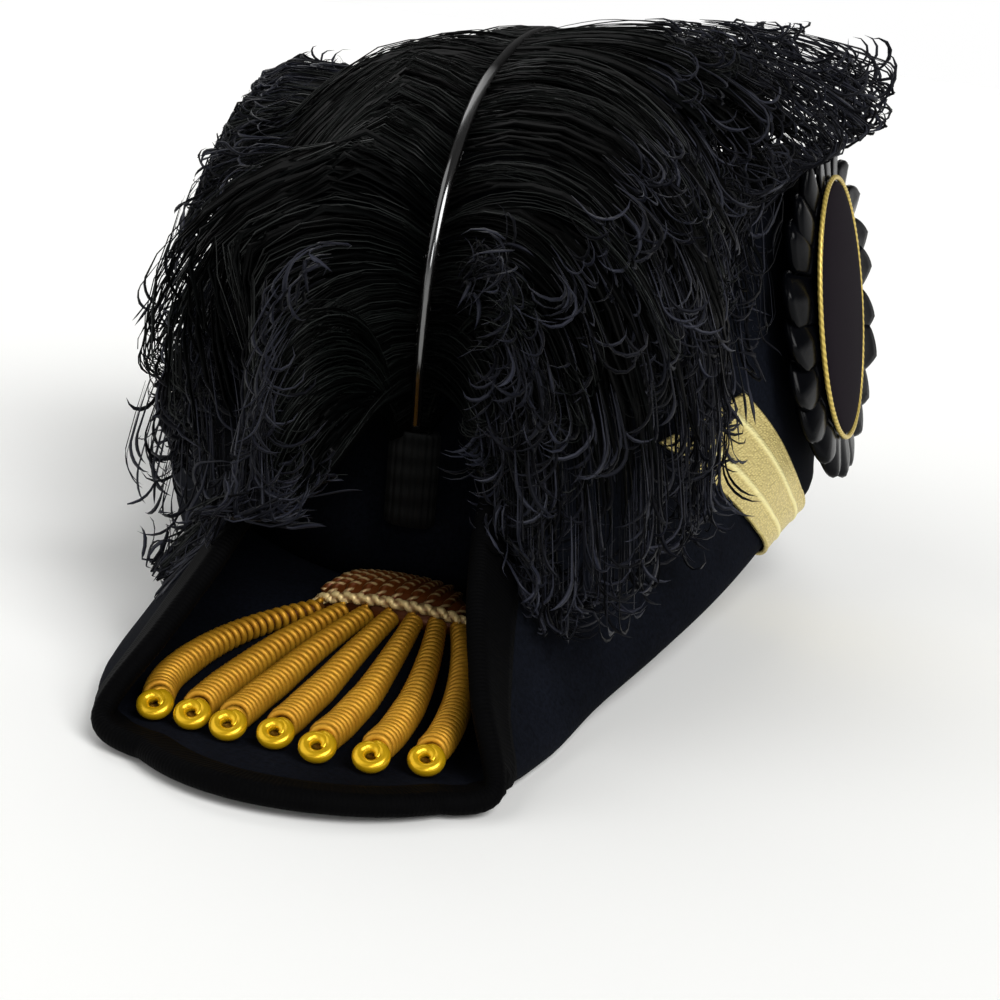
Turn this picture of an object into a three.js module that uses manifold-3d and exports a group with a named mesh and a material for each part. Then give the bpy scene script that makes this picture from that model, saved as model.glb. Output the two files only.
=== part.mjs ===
// A plumed fore-and-aft dress hat. A felt brim is turned up into two tall fans round a felt crown and
// drawn out into a blunt peak in front and behind. Ribbon binds its edge, seven bullion ropes fan out
// over the front peak, and a curled plume stands in a ribbed socket and lies back over the crown.
// Millimetres, +Z up. The hat faces -Y and +X is the wearer's left. The origin is on the table, under
// the middle of the hat's outline. The rosette widens that outline on one side, so the felt's own
// middle plane, from which the pieces are measured, lies a little aside of it.
import * as THREE from "three";
import { mergeVertices } from "three/addons/utils/BufferGeometryUtils.js";
import Module from "manifold-3d";

const wasm = await Module();
wasm.setup();

// Driving dimensions of the felt.
const HALF_LENGTH = 219; // middle of the hat to the tip of either peak
const HALF_WIDTH = 101; // middle of the hat to the outermost of its trimmings
const ASIDE = -5.755; // the felt's middle plane, from the middle of the whole outline
const PEAK_SHOULDER = 187; // where the rounded end of a peak begins
const PEAK_ROUNDNESS = 2.1; // exponent of the rounded end's outline
const FELT = 2.5; // thickness of the brim
const FOLD = 9; // how softly the brim turns up into a fan
const HEAD_HALF_WIDTH = 75;
const HEAD_HALF_LENGTH = 103;
const CROWN_FELT = 2;
const CROWN_TOP = 117;
const CROWN_SQUARENESS = 2.8; // exponent of the dome's profile

// Driving dimensions of the trimmings.
const GAP = 0.35; // left between pieces that touch on the real hat
const RIBBON = 0.7; // thickness of the binding ribbon
const BINDING = { width: 11, peakWidth: 5, lie: 0.5 }; // reach in from the edge, and looseness
const ROPE_ROOT_RADIUS = 2.3; // where the ropes leave the tassel's head
const ROPE_RADIUS = 3.4; // of their thicker, outer half
const CURL_RADIUS = 2.4; // middle of the ring at a rope's end
const CURL_WIRE = 1.3;
const SOCKET = { bottomZ: 29, topZ: 52, halfX: 6, halfY: 4.5, ribs: 16, ribDepth: 0.35 };
const QUILL_FOOT_RADIUS = 1.9;
const QUILL_TIP_RADIUS = 0.8;
const STRAP = { width: 25, thickness: 1, lie: 0.6, footY: -34, slant: 43, bottom: -8, top: 45 };
const ROSETTE = { y: -9, up: 54, off: 0.8, back: 1.5, pleats: 22 }; // off the felt, and its back plate
const RUFFLE = { innerX: 27, innerY: 31, outerX: 40, outerY: 46, back: 2, front: 5.6, wave: 1.5 };
const DISC = { halfX: 29.5, halfY: 33.5, back: 6.2, edge: 7.2, middle: 9.4 };
const RIM_WIRE = 0.75; // half the thickness of the cord round the disc

// The brim's half on the wearer's left, at stations from the middle of the hat to a tip. The foot is the
// fold at the bottom of a fan, the edge is the fan's upper rim, and the belly is how far the fan swells
// outward between the two. On the wearer's right the foot is tucked in further. Both peaks are alike.
const BRIM_SECTIONS = [
  { along: 0, footX: 91, footZ: 25, edgeX: 71, edgeZ: 118, belly: 3, tuck: 0 },
  { along: 40, footX: 84, footZ: 21, edgeX: 60, edgeZ: 112, belly: 2.5, tuck: 2 },
  { along: 80, footX: 74.5, footZ: 13.5, edgeX: 41, edgeZ: 93, belly: 1, tuck: 8 },
  { along: 115, footX: 64, footZ: 7.5, edgeX: 27, edgeZ: 67, belly: 0, tuck: 13 },
  { along: 145, footX: 54.5, footZ: 3, edgeX: 23.5, edgeZ: 47, belly: 0, tuck: 3.5 },
  { along: 168, footX: 49, footZ: 0, edgeX: 26.5, edgeZ: 31.5, belly: 0, tuck: -1.5 },
  { along: 184, footX: 45, footZ: 0, edgeX: 31.5, edgeZ: 19, belly: 0, tuck: -2 },
  { along: 194, footX: 42, footZ: 0.8, edgeX: 35.2, edgeZ: 11.5, belly: 0, tuck: 0 },
  { along: 204, footX: 39.5, footZ: 1.6, edgeX: 38.2, edgeZ: 6, belly: 0, tuck: 3 },
  { along: 218, footX: 38.4, footZ: 2.5, edgeX: 38.4, edgeZ: 5.5, belly: 0, tuck: 4 },
];

// The ropes, from the wearer's right. Each leaves the tassel's head at its root, passes through its bend
// half way along, and ends at its tip.
const ROPES = [
  { rootX: -14.4, rootY: -126.9, bendX: -31.4, tipX: -30.4, tipY: -189.6 },
  { rootX: -9.1, rootY: -126.1, bendX: -19.6, tipX: -22.1, tipY: -191.6 },
  { rootX: -3.9, rootY: -125.6, bendX: -11.6, tipX: -14, tipY: -194.4 },
  { rootX: 1.5, rootY: -125.3, bendX: -2.6, tipX: -4.6, tipY: -194.2 },
  { rootX: 6.8, rootY: -125.2, bendX: 6.4, tipX: 4.7, tipY: -198 },
  { rootX: 12, rootY: -125.4, bendX: 15.6, tipX: 15.2, tipY: -198 },
  { rootX: 17.2, rootY: -125.7, bendX: 24.2, tipX: 25, tipY: -193.8 },
];

// The plume's quill in the middle plane: out of its socket, up the front and back over the crown.
const QUILL_PATH = [
  { y: -111, z: 33 },
  { y: -115, z: 52 },
  { y: -120, z: 72 },
  { y: -120, z: 90 },
  { y: -112, z: 107 },
  { y: -90, z: 124 },
  { y: -55, z: 135 },
  { y: -15, z: 141 },
  { y: 30, z: 142 },
  { y: 75, z: 136 },
  { y: 115, z: 122 },
  { y: 146, z: 101 },
];

// Locks of the two vanes, at shares of the quill's length. A lock leaves the quill outward, with some
// lift away from the hat and some sweep towards the quill's tip, and its own weight bends it down.
const LEFT_LOCKS = [
  { at: 0.07, length: 86, lift: 1.5, sweep: 0.4, sag: 3.8 },
  { at: 0.17, length: 98, lift: 1, sweep: 0.45, sag: 3.6 },
  { at: 0.3, length: 104, lift: 0.35, sweep: 0.25, sag: 3.4 },
  { at: 0.5, length: 104, lift: 0, sweep: 0.1, sag: 3.6 },
  { at: 0.65, length: 94, lift: -0.05, sweep: 0.2, sag: 3.8 },
  { at: 0.8, length: 80, lift: 0, sweep: 0.4, sag: 3.8 },
  { at: 1, length: 62, lift: 0.15, sweep: 1.1, sag: 2.4 },
];
const RIGHT_LOCKS = [
  { at: 0.07, length: 82, lift: 1.2, sweep: 0.5, sag: 3.6 },
  { at: 0.17, length: 100, lift: 0.85, sweep: 0.45, sag: 3.5 },
  { at: 0.27, length: 108, lift: 0.45, sweep: 0.15, sag: 3.4 },
  { at: 0.35, length: 92, lift: 0.3, sweep: 0.2, sag: 1.3 },
  { at: 0.6, length: 93, lift: 0.15, sweep: 0.2, sag: 0.7 },
  { at: 0.7, length: 102, lift: 0.05, sweep: 0.25, sag: 3 },
  { at: 0.8, length: 90, lift: 0, sweep: 0.4, sag: 3.8 },
  { at: 1, length: 66, lift: 0.15, sweep: 1.1, sag: 2.4 },
];
const LOCK_COUNT = 16;
const LOCK_STEPS = 8;
const LOCK_WIDTH = 22;
const LOCK_THICKNESS = 6;
const RAIL = { inner: 2.25, outer: 6.5, thickness: 2.6 }; // what each vane's locks are fused to
const CLEARANCE = 7.3; // from a fan to the locks that hang over it

// Cubic through a column of a table, level at the first row.
function smoothColumn(rows, at, key) {
  const position = rows.map((row) => row[at]);
  const value = rows.map((row) => row[key]);
  const last = rows.length - 1;
  const slope = value.map((_, i) => {
    if (i === 0) return 0;
    const next = Math.min(i + 1, last);
    return (value[next] - value[i - 1]) / (position[next] - position[i - 1]);
  });
  return (x) => {
    const i = Math.max(0, position.findLastIndex((p, k) => k < last && p <= x));
    const span = position[i + 1] - position[i];
    const t = THREE.MathUtils.clamp((x - position[i]) / span, 0, 1);
    const bend = t * t * (3 - 2 * t);
    const rise = t * (1 - t) * ((1 - t) * slope[i] - t * slope[i + 1]);
    return value[i] + (value[i + 1] - value[i]) * bend + rise * span;
  };
}

const smoothTable = (rows, at, keys) => {
  const columns = keys.map((key) => [key, smoothColumn(rows, at, key)]);
  return (x) => Object.fromEntries(columns.map(([key, column]) => [key, column(x)]));
};

const brimColumns = smoothTable(BRIM_SECTIONS, "along", [
  "footX",
  "footZ",
  "edgeX",
  "edgeZ",
  "belly",
  "tuck",
]);

// The brim's own numbers at a place along the hat, on the wearer's left or, where side is below 0, on
// the right. Heights are of the middle of the felt.
function brimAt(y, side = 1) {
  const section = brimColumns(Math.min(Math.abs(y), HALF_LENGTH));
  if (side < 0) section.footX -= section.tuck;
  section.footZ = Math.max(0, section.footZ) + FELT / 2;
  section.edgeZ += FELT / 2;
  section.belly = Math.max(0, section.belly);
  return section;
}

// How far a fan swells outward at a share of the way from its foot to its edge.
const swell = (share, belly) => 4 * belly * share * (1 - share);

// Shares of a half section: the floor ends at the first, the fan begins at the second.
const FLOOR_END = 0.42;
const FAN_START = 0.6;

// A point of the brim's middle surface: across runs from the edge on the wearer's right, -1, to the
// edge on the left, 1.
function brimPoint(across, y) {
  const { footX, footZ, edgeX, edgeZ, belly } = brimAt(y, across);
  const share = Math.abs(across);
  const foot = new THREE.Vector2(footX, footZ);
  const edge = new THREE.Vector2(edgeX, edgeZ);
  const rise = edge.distanceTo(foot);
  const floorEnd = new THREE.Vector2(footX - FOLD, footZ);
  const fanStart = foot.clone().lerp(edge, Math.min(FOLD / rise, 0.45));
  let place;
  if (share <= FLOOR_END) {
    place = new THREE.Vector2((floorEnd.x * share) / FLOOR_END, footZ);
  } else if (share < FAN_START) {
    const turn = new THREE.QuadraticBezierCurve(floorEnd, foot, fanStart);
    place = turn.getPoint((share - FLOOR_END) / (FAN_START - FLOOR_END));
  } else {
    const up = (share - FAN_START) / (1 - FAN_START);
    place = fanStart.lerp(edge, up);
    place.x += swell(up, belly);
  }
  return new THREE.Vector3(Math.sign(across) * place.x, y, place.y);
}

// How far each line of the brim reaches towards a tip. The floor reaches further than the fans, which
// rounds the peaks.
const FLOOR_WIDTH = 0.81; // shares of a peak's half width within its floor and within its folds
const FOLD_WIDTH = 0.95;
function peakReach(across) {
  const share = Math.min(1, Math.abs(across));
  let width = (FLOOR_WIDTH * share) / FLOOR_END;
  if (share > FAN_START) {
    width = THREE.MathUtils.mapLinear(share, FAN_START, 1, FOLD_WIDTH, 1);
  } else if (share > FLOOR_END) {
    width = THREE.MathUtils.mapLinear(share, FLOOR_END, FAN_START, FLOOR_WIDTH, FOLD_WIDTH);
  }
  const round = (1 - width ** PEAK_ROUNDNESS) ** (1 / PEAK_ROUNDNESS);
  return PEAK_SHOULDER + (HALF_LENGTH - PEAK_SHOULDER) * round;
}

// Slopes and outward normal of a surface of two shares.
function frameOf(surface, a, b) {
  const step = 1e-3;
  const slopeA = surface(a + step, b).sub(surface(a - step, b)).divideScalar(2 * step);
  const slopeB = surface(a, b + step).sub(surface(a, b - step)).divideScalar(2 * step);
  const normal = slopeB.clone().cross(slopeA).normalize();
  return { slopeA, slopeB, normal };
}

function offsetPoint(surface, a, b, offset) {
  return surface(a, b).addScaledVector(frameOf(surface, a, b).normal, offset);
}

// Indexed geometry whose faces point out of the solid. Faces with two corners in one place are left out.
function facingOut(points, index) {
  const position = points.flatMap((p) => [p.x, p.y, p.z]);
  const faces = [];
  let volume = 0;
  for (let i = 0; i < index.length; i += 3) {
    const face = index.slice(i, i + 3);
    const [a, b, c] = face.map((k) => points[k]);
    const shortest = Math.min(a.distanceTo(b), b.distanceTo(c), c.distanceTo(a));
    if (shortest < 1e-6) continue;
    faces.push(...face);
    volume += a.dot(b.clone().cross(c));
  }
  const geometry = new THREE.BufferGeometry();
  geometry.setAttribute("position", new THREE.Float32BufferAttribute(position, 3));
  geometry.setIndex(volume < 0 ? faces.reverse() : faces);
  return mergeVertices(geometry, 1e-5);
}

// Closed solid from a row of closed rings of equal length: a loop, or a tube with capped ends. The
// rings of a sheet go out along one face and back along the other, and their caps join the two faces.
// The facets of a turned span are split along their other diagonal.
function solidFromRings(rings, { loop = false, sheet = false, turned = () => false } = {}) {
  const size = rings[0].length;
  const index = [];
  const quad = (a, b, c, d) => index.push(a, b, c, a, c, d);
  const spans = loop ? rings.length : rings.length - 1;
  for (let i = 0; i < spans; i++) {
    const here = i * size;
    const next = ((i + 1) % rings.length) * size;
    for (let k = 0; k < size; k++) {
      const l = (k + 1) % size;
      if (turned(i)) quad(here + l, next + l, next + k, here + k);
      else quad(here + k, here + l, next + l, next + k);
    }
  }
  const end = (rings.length - 1) * size;
  if (sheet) {
    for (let k = 0; k < size / 2 - 1; k++) {
      quad(k, size - 1 - k, size - 2 - k, k + 1);
      quad(end + k, end + k + 1, end + size - 2 - k, end + size - 1 - k);
    }
  } else if (!loop) {
    for (let k = 1; k < size - 1; k++) index.push(0, k + 1, k, end, end + k, end + k + 1);
  }
  return facingOut(rings.flat(), index);
}

// Sheet over rows of places on a surface, between two offsets along its normal.
function solidFromSheet(surface, rows, inner, outer) {
  const rings = rows.map((row) => [
    ...row.map(([a, b]) => offsetPoint(surface, a, b, inner)),
    ...row.toReversed().map(([a, b]) => offsetPoint(surface, a, b, outer)),
  ]);
  return solidFromRings(rings, { sheet: true });
}

// Round tube along a curve, with its radius as a function of the share of the way.
function solidFromPath(points, radiusAt, sides) {
  const last = points.length - 1;
  const rings = points.map((point, i) => {
    const ahead = points[Math.min(i + 1, last)].clone().sub(points[Math.max(i - 1, 0)]).normalize();
    const side = new THREE.Vector3(1, 0, 0).addScaledVector(ahead, -ahead.x).normalize();
    const top = ahead.clone().cross(side);
    return shares(sides - 1, 0, 1 - 1 / sides).map((turn) => {
      const angle = 2 * Math.PI * turn;
      const radius = radiusAt(i / last);
      return point
        .clone()
        .addScaledVector(side, radius * Math.cos(angle))
        .addScaledVector(top, radius * Math.sin(angle));
    });
  });
  return solidFromRings(rings);
}

function toManifold(geometry) {
  const bare = geometry.clone();
  bare.deleteAttribute("normal");
  bare.deleteAttribute("uv");
  const merged = mergeVertices(bare, 1e-4);
  const vertProperties = new Float32Array(merged.attributes.position.array);
  const triVerts = new Uint32Array(merged.index.array);
  return new wasm.Manifold(new wasm.Mesh({ numProp: 3, vertProperties, triVerts }));
}

function fromManifold(solid) {
  const { vertProperties, triVerts } = solid.getMesh();
  const geometry = new THREE.BufferGeometry();
  geometry.setAttribute("position", new THREE.BufferAttribute(vertProperties.slice(), 3));
  geometry.setIndex([...triVerts]);
  return geometry;
}

const fuse = (geometries) =>
  fromManifold(geometries.map(toManifold).reduce((all, one) => all.add(one)));

function shares(count, from = 0, to = 1) {
  return Array.from({ length: count + 1 }, (_, i) => THREE.MathUtils.lerp(from, to, i / count));
}

// Where the brim's facets meet, as shares from the middle out. The outermost band of facets is the one
// that the binding covers, and the bands of a fan below it are of equal height.
const BOUND = 0.9;
const mirrored = (half) => [...half.toReversed().map((share) => -share), 0, ...half];
const ACROSS = mirrored([0.25, FLOOR_END, 0.48, 0.54, FAN_START, 0.7, 0.8, BOUND, 1]);
const ALONG = mirrored([0.1, 0.2, 0.3, 0.4, 0.49, 0.57, 0.65, 0.73, 0.8, 0.86, 0.92, 0.97, 1]);
const LAST = { across: ACROSS.length - 1, along: ALONG.length - 1 };

function gridPlace(i, j) {
  const share = Math.abs(ACROSS[i]);
  const reach = peakReach(share);
  let y = ALONG[j] * reach;
  if (j === 1 || j === LAST.along - 1) y = Math.sign(y) * (reach - BINDING.peakWidth);
  if (share <= FAN_START || share === 1) return [ACROSS[i], y];
  const { footX, footZ, edgeX, edgeZ } = brimAt(y, ACROSS[i]);
  const rise = Math.hypot(edgeX - footX, edgeZ - footZ);
  const fan = Math.max(rise - FOLD, 0.55 * rise);
  const bound = 1 - (1 - FAN_START) * Math.min(BINDING.width / fan, 0.65);
  return [Math.sign(ACROSS[i]) * THREE.MathUtils.mapLinear(share, FAN_START, BOUND, FAN_START, bound), y];
}

// Felt brim: floor, folds, fans and peaks in one sheet, with an oval hole for the head.
function brim() {
  const rows = ACROSS.map((_, i) => ALONG.map((_, j) => gridPlace(i, j)));
  const sheet = solidFromSheet(brimPoint, rows, -FELT / 2, FELT / 2);
  const oval = new THREE.Shape();
  oval.absellipse(0, 0, HEAD_HALF_WIDTH, HEAD_HALF_LENGTH, 0, 2 * Math.PI);
  const depth = brimAt(0).footZ + 2 * FELT;
  const hole = new THREE.ExtrudeGeometry(oval, { depth, curveSegments: 24, bevelEnabled: false });
  return fromManifold(toManifold(sheet).subtract(toManifold(hole)));
}

// Felt crown: a dome that stands on the brim round the hole and is open below.
function crown() {
  const turns = shares(31, 0, 31 / 32);
  const heights = [0, 0.3, 0.55, 0.75, 0.9, 0.98];
  const face = (inset, turn, height) => {
    const angle = 2 * Math.PI * turn;
    const outX = (HEAD_HALF_WIDTH + GAP + CROWN_FELT - inset) * Math.cos(angle);
    const outY = (HEAD_HALF_LENGTH + GAP + CROWN_FELT - inset) * Math.sin(angle);
    const footZ = brimAt(outY).footZ + FELT / 2 + GAP;
    const inward = (1 - height ** CROWN_SQUARENESS) ** (1 / CROWN_SQUARENESS);
    const z = THREE.MathUtils.lerp(footZ, CROWN_TOP - inset, height);
    return new THREE.Vector3(outX * inward, outY * inward, z);
  };
  const rows = [
    ...heights.map((height) => turns.map((turn) => face(0, turn, height))),
    ...heights.toReversed().map((height) => turns.map((turn) => face(CROWN_FELT, turn, height))),
  ];
  const size = turns.length;
  const index = [];
  for (let i = 0; i < rows.length; i++) {
    if (i === heights.length - 1) continue;
    const next = (i + 1) % rows.length;
    for (let k = 0; k < size; k++) {
      const l = (k + 1) % size;
      const [a, b, c, d] = [i * size + k, i * size + l, next * size + l, next * size + k];
      index.push(a, b, c, a, c, d);
    }
  }
  const points = rows.flat();
  const outerTop = points.push(new THREE.Vector3(0, 0, CROWN_TOP)) - 1;
  const innerTop = points.push(new THREE.Vector3(0, 0, CROWN_TOP - CROWN_FELT)) - 1;
  const outerRow = (heights.length - 1) * size;
  const innerRow = heights.length * size;
  for (let k = 0; k < size; k++) {
    const l = (k + 1) % size;
    index.push(outerRow + k, outerRow + l, outerTop, innerRow + l, innerRow + k, innerTop);
  }
  return facingOut(points, index);
}

// Ribbon folded over the whole edge of the brim, as a channel swept round it.
function edgeBinding() {
  const counted = (list) => list.slice(0, -1).map((_, k) => k);
  const rim = [
    ...counted(ALONG).map((j) => [LAST.across, j]),
    ...counted(ACROSS).map((i) => [LAST.across - i, LAST.along]),
    ...counted(ALONG).map((j) => [0, LAST.along - j]),
    ...counted(ACROSS).map((i) => [i, 0]),
  ];
  const inner = FELT / 2 + BINDING.lie;
  const outer = inner + RIBBON;
  const channels = rim.map(([i, j]) => {
    const edgePlace = gridPlace(i, j);
    const deepPlace = gridPlace(
      THREE.MathUtils.clamp(i, 1, LAST.across - 1),
      THREE.MathUtils.clamp(j, 1, LAST.along - 1),
    );
    const edge = brimPoint(...edgePlace);
    const { normal } = frameOf(brimPoint, ...edgePlace);
    const inward = brimPoint(...deepPlace).sub(edge).normalize();
    const leaf = (offset) => offsetPoint(brimPoint, ...deepPlace, offset);
    const fold = (offset, over) =>
      edge.clone().addScaledVector(normal, offset).addScaledVector(inward, -over);
    return [
      leaf(outer),
      fold(outer, BINDING.lie + RIBBON),
      fold(-outer, BINDING.lie + RIBBON),
      leaf(-outer),
      leaf(-inner),
      fold(-inner, BINDING.lie),
      fold(inner, BINDING.lie),
      leaf(inner),
    ];
  });
  const roundTip = (n) => rim[n][1] === rim[(n + 1) % rim.length][1];
  return solidFromRings(channels, { loop: true, turned: roundTip });
}

// Top of the felt on the floor of a peak.
const floorTop = (y) => brimAt(y).footZ + FELT / 2;

// Wound head that gathers the bullion ropes, against the foot of the crown.
const HEAD_SECTIONS = [
  { y: -124.6, x: 1.6, halfX: 17.8, height: 4.6 },
  { y: -121, x: 1.4, halfX: 18.2, height: 6.6 },
  { y: -113, x: 0.6, halfX: 15.2, height: 6 },
  { y: -107, x: 0, halfX: 13, height: 3.6 },
];
function tasselHead() {
  const rings = HEAD_SECTIONS.map(({ y, x, halfX, height }) => {
    const base = floorTop(y) + GAP;
    const top = shares(8).map((share) => {
      const angle = Math.PI * share;
      const z = base + 1 + (height - 1) * Math.sin(angle) ** 0.7;
      return new THREE.Vector3(x + halfX * Math.cos(angle), y, z);
    });
    const [right, left] = [halfX, -halfX].map((out) => new THREE.Vector3(x + out, y, base));
    return [right, ...top, left];
  });
  return solidFromRings(rings);
}

// One coiled rope of the tassel, spread over the floor of the front peak and ending in a small ring.
function bullion({ rootX, rootY, bendX, tipX, tipY }) {
  const radiusAt = (share) =>
    THREE.MathUtils.lerp(ROPE_ROOT_RADIUS, ROPE_RADIUS, Math.min(1, share * 1.6));
  const points = shares(8).map((share) => {
    const fromRoot = rootX * (1 - share) * (1 - 2 * share);
    const fromBend = bendX * 4 * share * (1 - share);
    const fromTip = tipX * share * (2 * share - 1);
    const y = THREE.MathUtils.lerp(rootY, tipY, share);
    return new THREE.Vector3(fromRoot + fromBend + fromTip, y, floorTop(y) + GAP + radiusAt(share));
  });
  const rope = solidFromPath(points, (share) => radiusAt(share) * (share > 0.95 ? 0.8 : 1), 6);
  const end = points.at(-1);
  const curl = new THREE.TorusGeometry(CURL_RADIUS, CURL_WIRE, 5, 9);
  curl.translate(end.x, end.y - CURL_RADIUS, floorTop(end.y - CURL_RADIUS) + GAP + CURL_WIRE);
  return fuse([rope, curl]);
}

const quillCurve = new THREE.CatmullRomCurve3(
  QUILL_PATH.map(({ y, z }) => new THREE.Vector3(0, y, z)),
);

// Ribbed socket in which the quill stands, sewn to the front of the crown.
function plumeSocket() {
  const [foot, next] = QUILL_PATH;
  const slope = (next.y - foot.y) / (next.z - foot.z);
  const turns = shares(2 * SOCKET.ribs - 1, 0, 1 - 1 / (2 * SOCKET.ribs));
  const profiles = turns.map((turn, i) => {
    const angle = 2 * Math.PI * turn;
    const rib = i % 2 === 0 ? 0 : -SOCKET.ribDepth;
    const bore = QUILL_FOOT_RADIUS + GAP;
    const wall = (halfX, halfY, z) =>
      new THREE.Vector3(
        halfX * Math.cos(angle),
        foot.y + slope * (z - foot.z) + halfY * Math.sin(angle),
        z,
      );
    return [
      wall(SOCKET.halfX + rib, SOCKET.halfY + rib, SOCKET.bottomZ),
      wall(SOCKET.halfX + rib, SOCKET.halfY + rib, SOCKET.topZ),
      wall(bore, bore, SOCKET.topZ),
      wall(bore, bore, SOCKET.bottomZ),
    ];
  });
  return solidFromRings(profiles, { loop: true });
}

function plumeQuill() {
  const points = shares(24).map((share) => quillCurve.getPointAt(share));
  const radiusAt = (share) => THREE.MathUtils.lerp(QUILL_FOOT_RADIUS, QUILL_TIP_RADIUS, share);
  return solidFromPath(points, radiusAt, 6);
}

// Lets a lock rest on the edge of a fan and hang outside it, clear of the felt.
function clearOfFan(point, side) {
  const { footX, footZ, edgeX, edgeZ, belly } = brimAt(point.y, side);
  const out = side * point.x;
  if (out < edgeX + CLEARANCE) {
    point.z = Math.max(point.z, edgeZ + CLEARANCE);
  } else if (point.z < edgeZ + CLEARANCE) {
    const share = THREE.MathUtils.clamp((point.z - footZ) / (edgeZ - footZ), 0, 1);
    const felt = THREE.MathUtils.lerp(footX, edgeX, share) + swell(share, belly);
    point.x = side * Math.max(out, felt + CLEARANCE);
  }
}

// Middle line of a lock that leaves the quill at a share of its length.
function lockPath(side, at, { length, lift, sweep, sag }) {
  const ahead = quillCurve.getTangentAt(at);
  const heading = new THREE.Vector3(side, 0, 0);
  heading.addScaledVector(ahead, sweep);
  heading.addScaledVector(new THREE.Vector3(1, 0, 0).cross(ahead), lift).normalize();
  const path = [quillCurve.getPointAt(at).setX(side * RAIL.outer * 0.75)];
  for (let i = 0; i < LOCK_STEPS; i++) {
    const point = path[i].clone().addScaledVector(heading, length / LOCK_STEPS);
    if (i > 1) clearOfFan(point, side);
    heading.subVectors(point, path[i]).normalize();
    heading.z -= sag / LOCK_STEPS;
    heading.normalize();
    path.push(point);
  }
  return { path, ahead };
}

// One vane of the plume: flat locks of barbs fused to a rail beside the quill.
function plumeVane(side, table) {
  const rowAt = smoothTable(table, "at", ["length", "lift", "sweep", "sag"]);
  const first = table[0].at;
  const rail = shares(22, first, 1).map((at) => {
    const ahead = quillCurve.getTangentAt(at);
    const out = new THREE.Vector3(1, 0, 0).cross(ahead);
    const half = RAIL.thickness / 2;
    const place = quillCurve.getPointAt(at);
    return [
      [RAIL.inner, half],
      [RAIL.outer, half],
      [RAIL.outer, -half],
      [RAIL.inner, -half],
    ].map(([x, up]) => place.clone().addScaledVector(out, up).setX(side * x));
  });
  const locks = shares(LOCK_COUNT - 1, first + 0.01, 0.985).map((at) => {
    const { path, ahead } = lockPath(side, at, rowAt(at));
    const last = path.length - 1;
    const rings = path.map((point, i) => {
      const heading = path[Math.min(i + 1, last)].clone().sub(path[Math.max(i - 1, 0)]).normalize();
      const rim = new THREE.Vector3(0, 2, brimAt(point.y + 1).edgeZ - brimAt(point.y - 1).edgeZ);
      const wide = ahead.clone().lerp(rim.normalize(), Math.min(1, (2 * i) / last));
      wide.addScaledVector(heading, -wide.dot(heading)).normalize();
      const thick = heading.clone().cross(wide);
      const taper = (1 - 0.8 * (i / last) ** 3) * (i === 0 ? 0.4 : 1);
      const halfWidth = (LOCK_WIDTH / 2) * taper;
      const halfThickness = (LOCK_THICKNESS / 2) * taper;
      const corners = [
        point.clone().addScaledVector(wide, halfWidth),
        point.clone().addScaledVector(thick, halfThickness),
        point.clone().addScaledVector(wide, -halfWidth),
        point.clone().addScaledVector(thick, -halfThickness),
      ];
      const within = (x) => side * THREE.MathUtils.clamp(side * x, RAIL.inner, HALF_WIDTH);
      return corners.map((corner) => corner.setX(within(corner.x)));
    });
    return solidFromRings(rings);
  });
  return fuse([solidFromRings(rail), ...locks]);
}

// Share across the brim at a height up a fan, measured along the felt from the middle of its fold.
function fanShare(up, y) {
  const { footX, footZ, edgeX, edgeZ } = brimAt(y);
  const rise = Math.hypot(edgeX - footX, edgeZ - footZ);
  if (up < FOLD) return FLOOR_END + ((FAN_START - FLOOR_END) * (up + FOLD)) / (2 * FOLD);
  return FAN_START + ((1 - FAN_START) * (up - FOLD)) / (rise - FOLD);
}

// Lace strap that goes round the fold of the left fan and slants up it.
function goldStrap() {
  const slant = Math.tan(THREE.MathUtils.degToRad(STRAP.slant));
  const spread = STRAP.width / Math.cos(THREE.MathUtils.degToRad(STRAP.slant));
  const surface = (wide, up) => {
    const y = STRAP.footY - slant * up + spread * wide;
    return brimPoint(fanShare(up, y), y);
  };
  const ups = [STRAP.bottom, -4, 0, 4, FOLD, 17, 26, 35, 44, STRAP.top];
  const rows = shares(4, -0.5, 0.5).map((wide) => ups.map((up) => [wide, up]));
  const inner = FELT / 2 + STRAP.lie;
  return solidFromSheet(surface, rows, -inner - STRAP.thickness, -inner);
}

// Places a piece of the rosette: built facing +Z with its height along +Y, it is set on the left fan.
function onFan(geometry) {
  const across = fanShare(ROSETTE.up, ROSETTE.y);
  const { normal } = frameOf(brimPoint, across, ROSETTE.y);
  const rear = new THREE.Vector3(0, 0, 1).cross(normal).normalize();
  const upward = normal.clone().cross(rear);
  const frame = new THREE.Matrix4().makeBasis(rear, upward, normal);
  const centre = offsetPoint(brimPoint, across, ROSETTE.y, FELT / 2 + ROSETTE.off);
  return geometry.applyMatrix4(frame.setPosition(centre));
}

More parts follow.
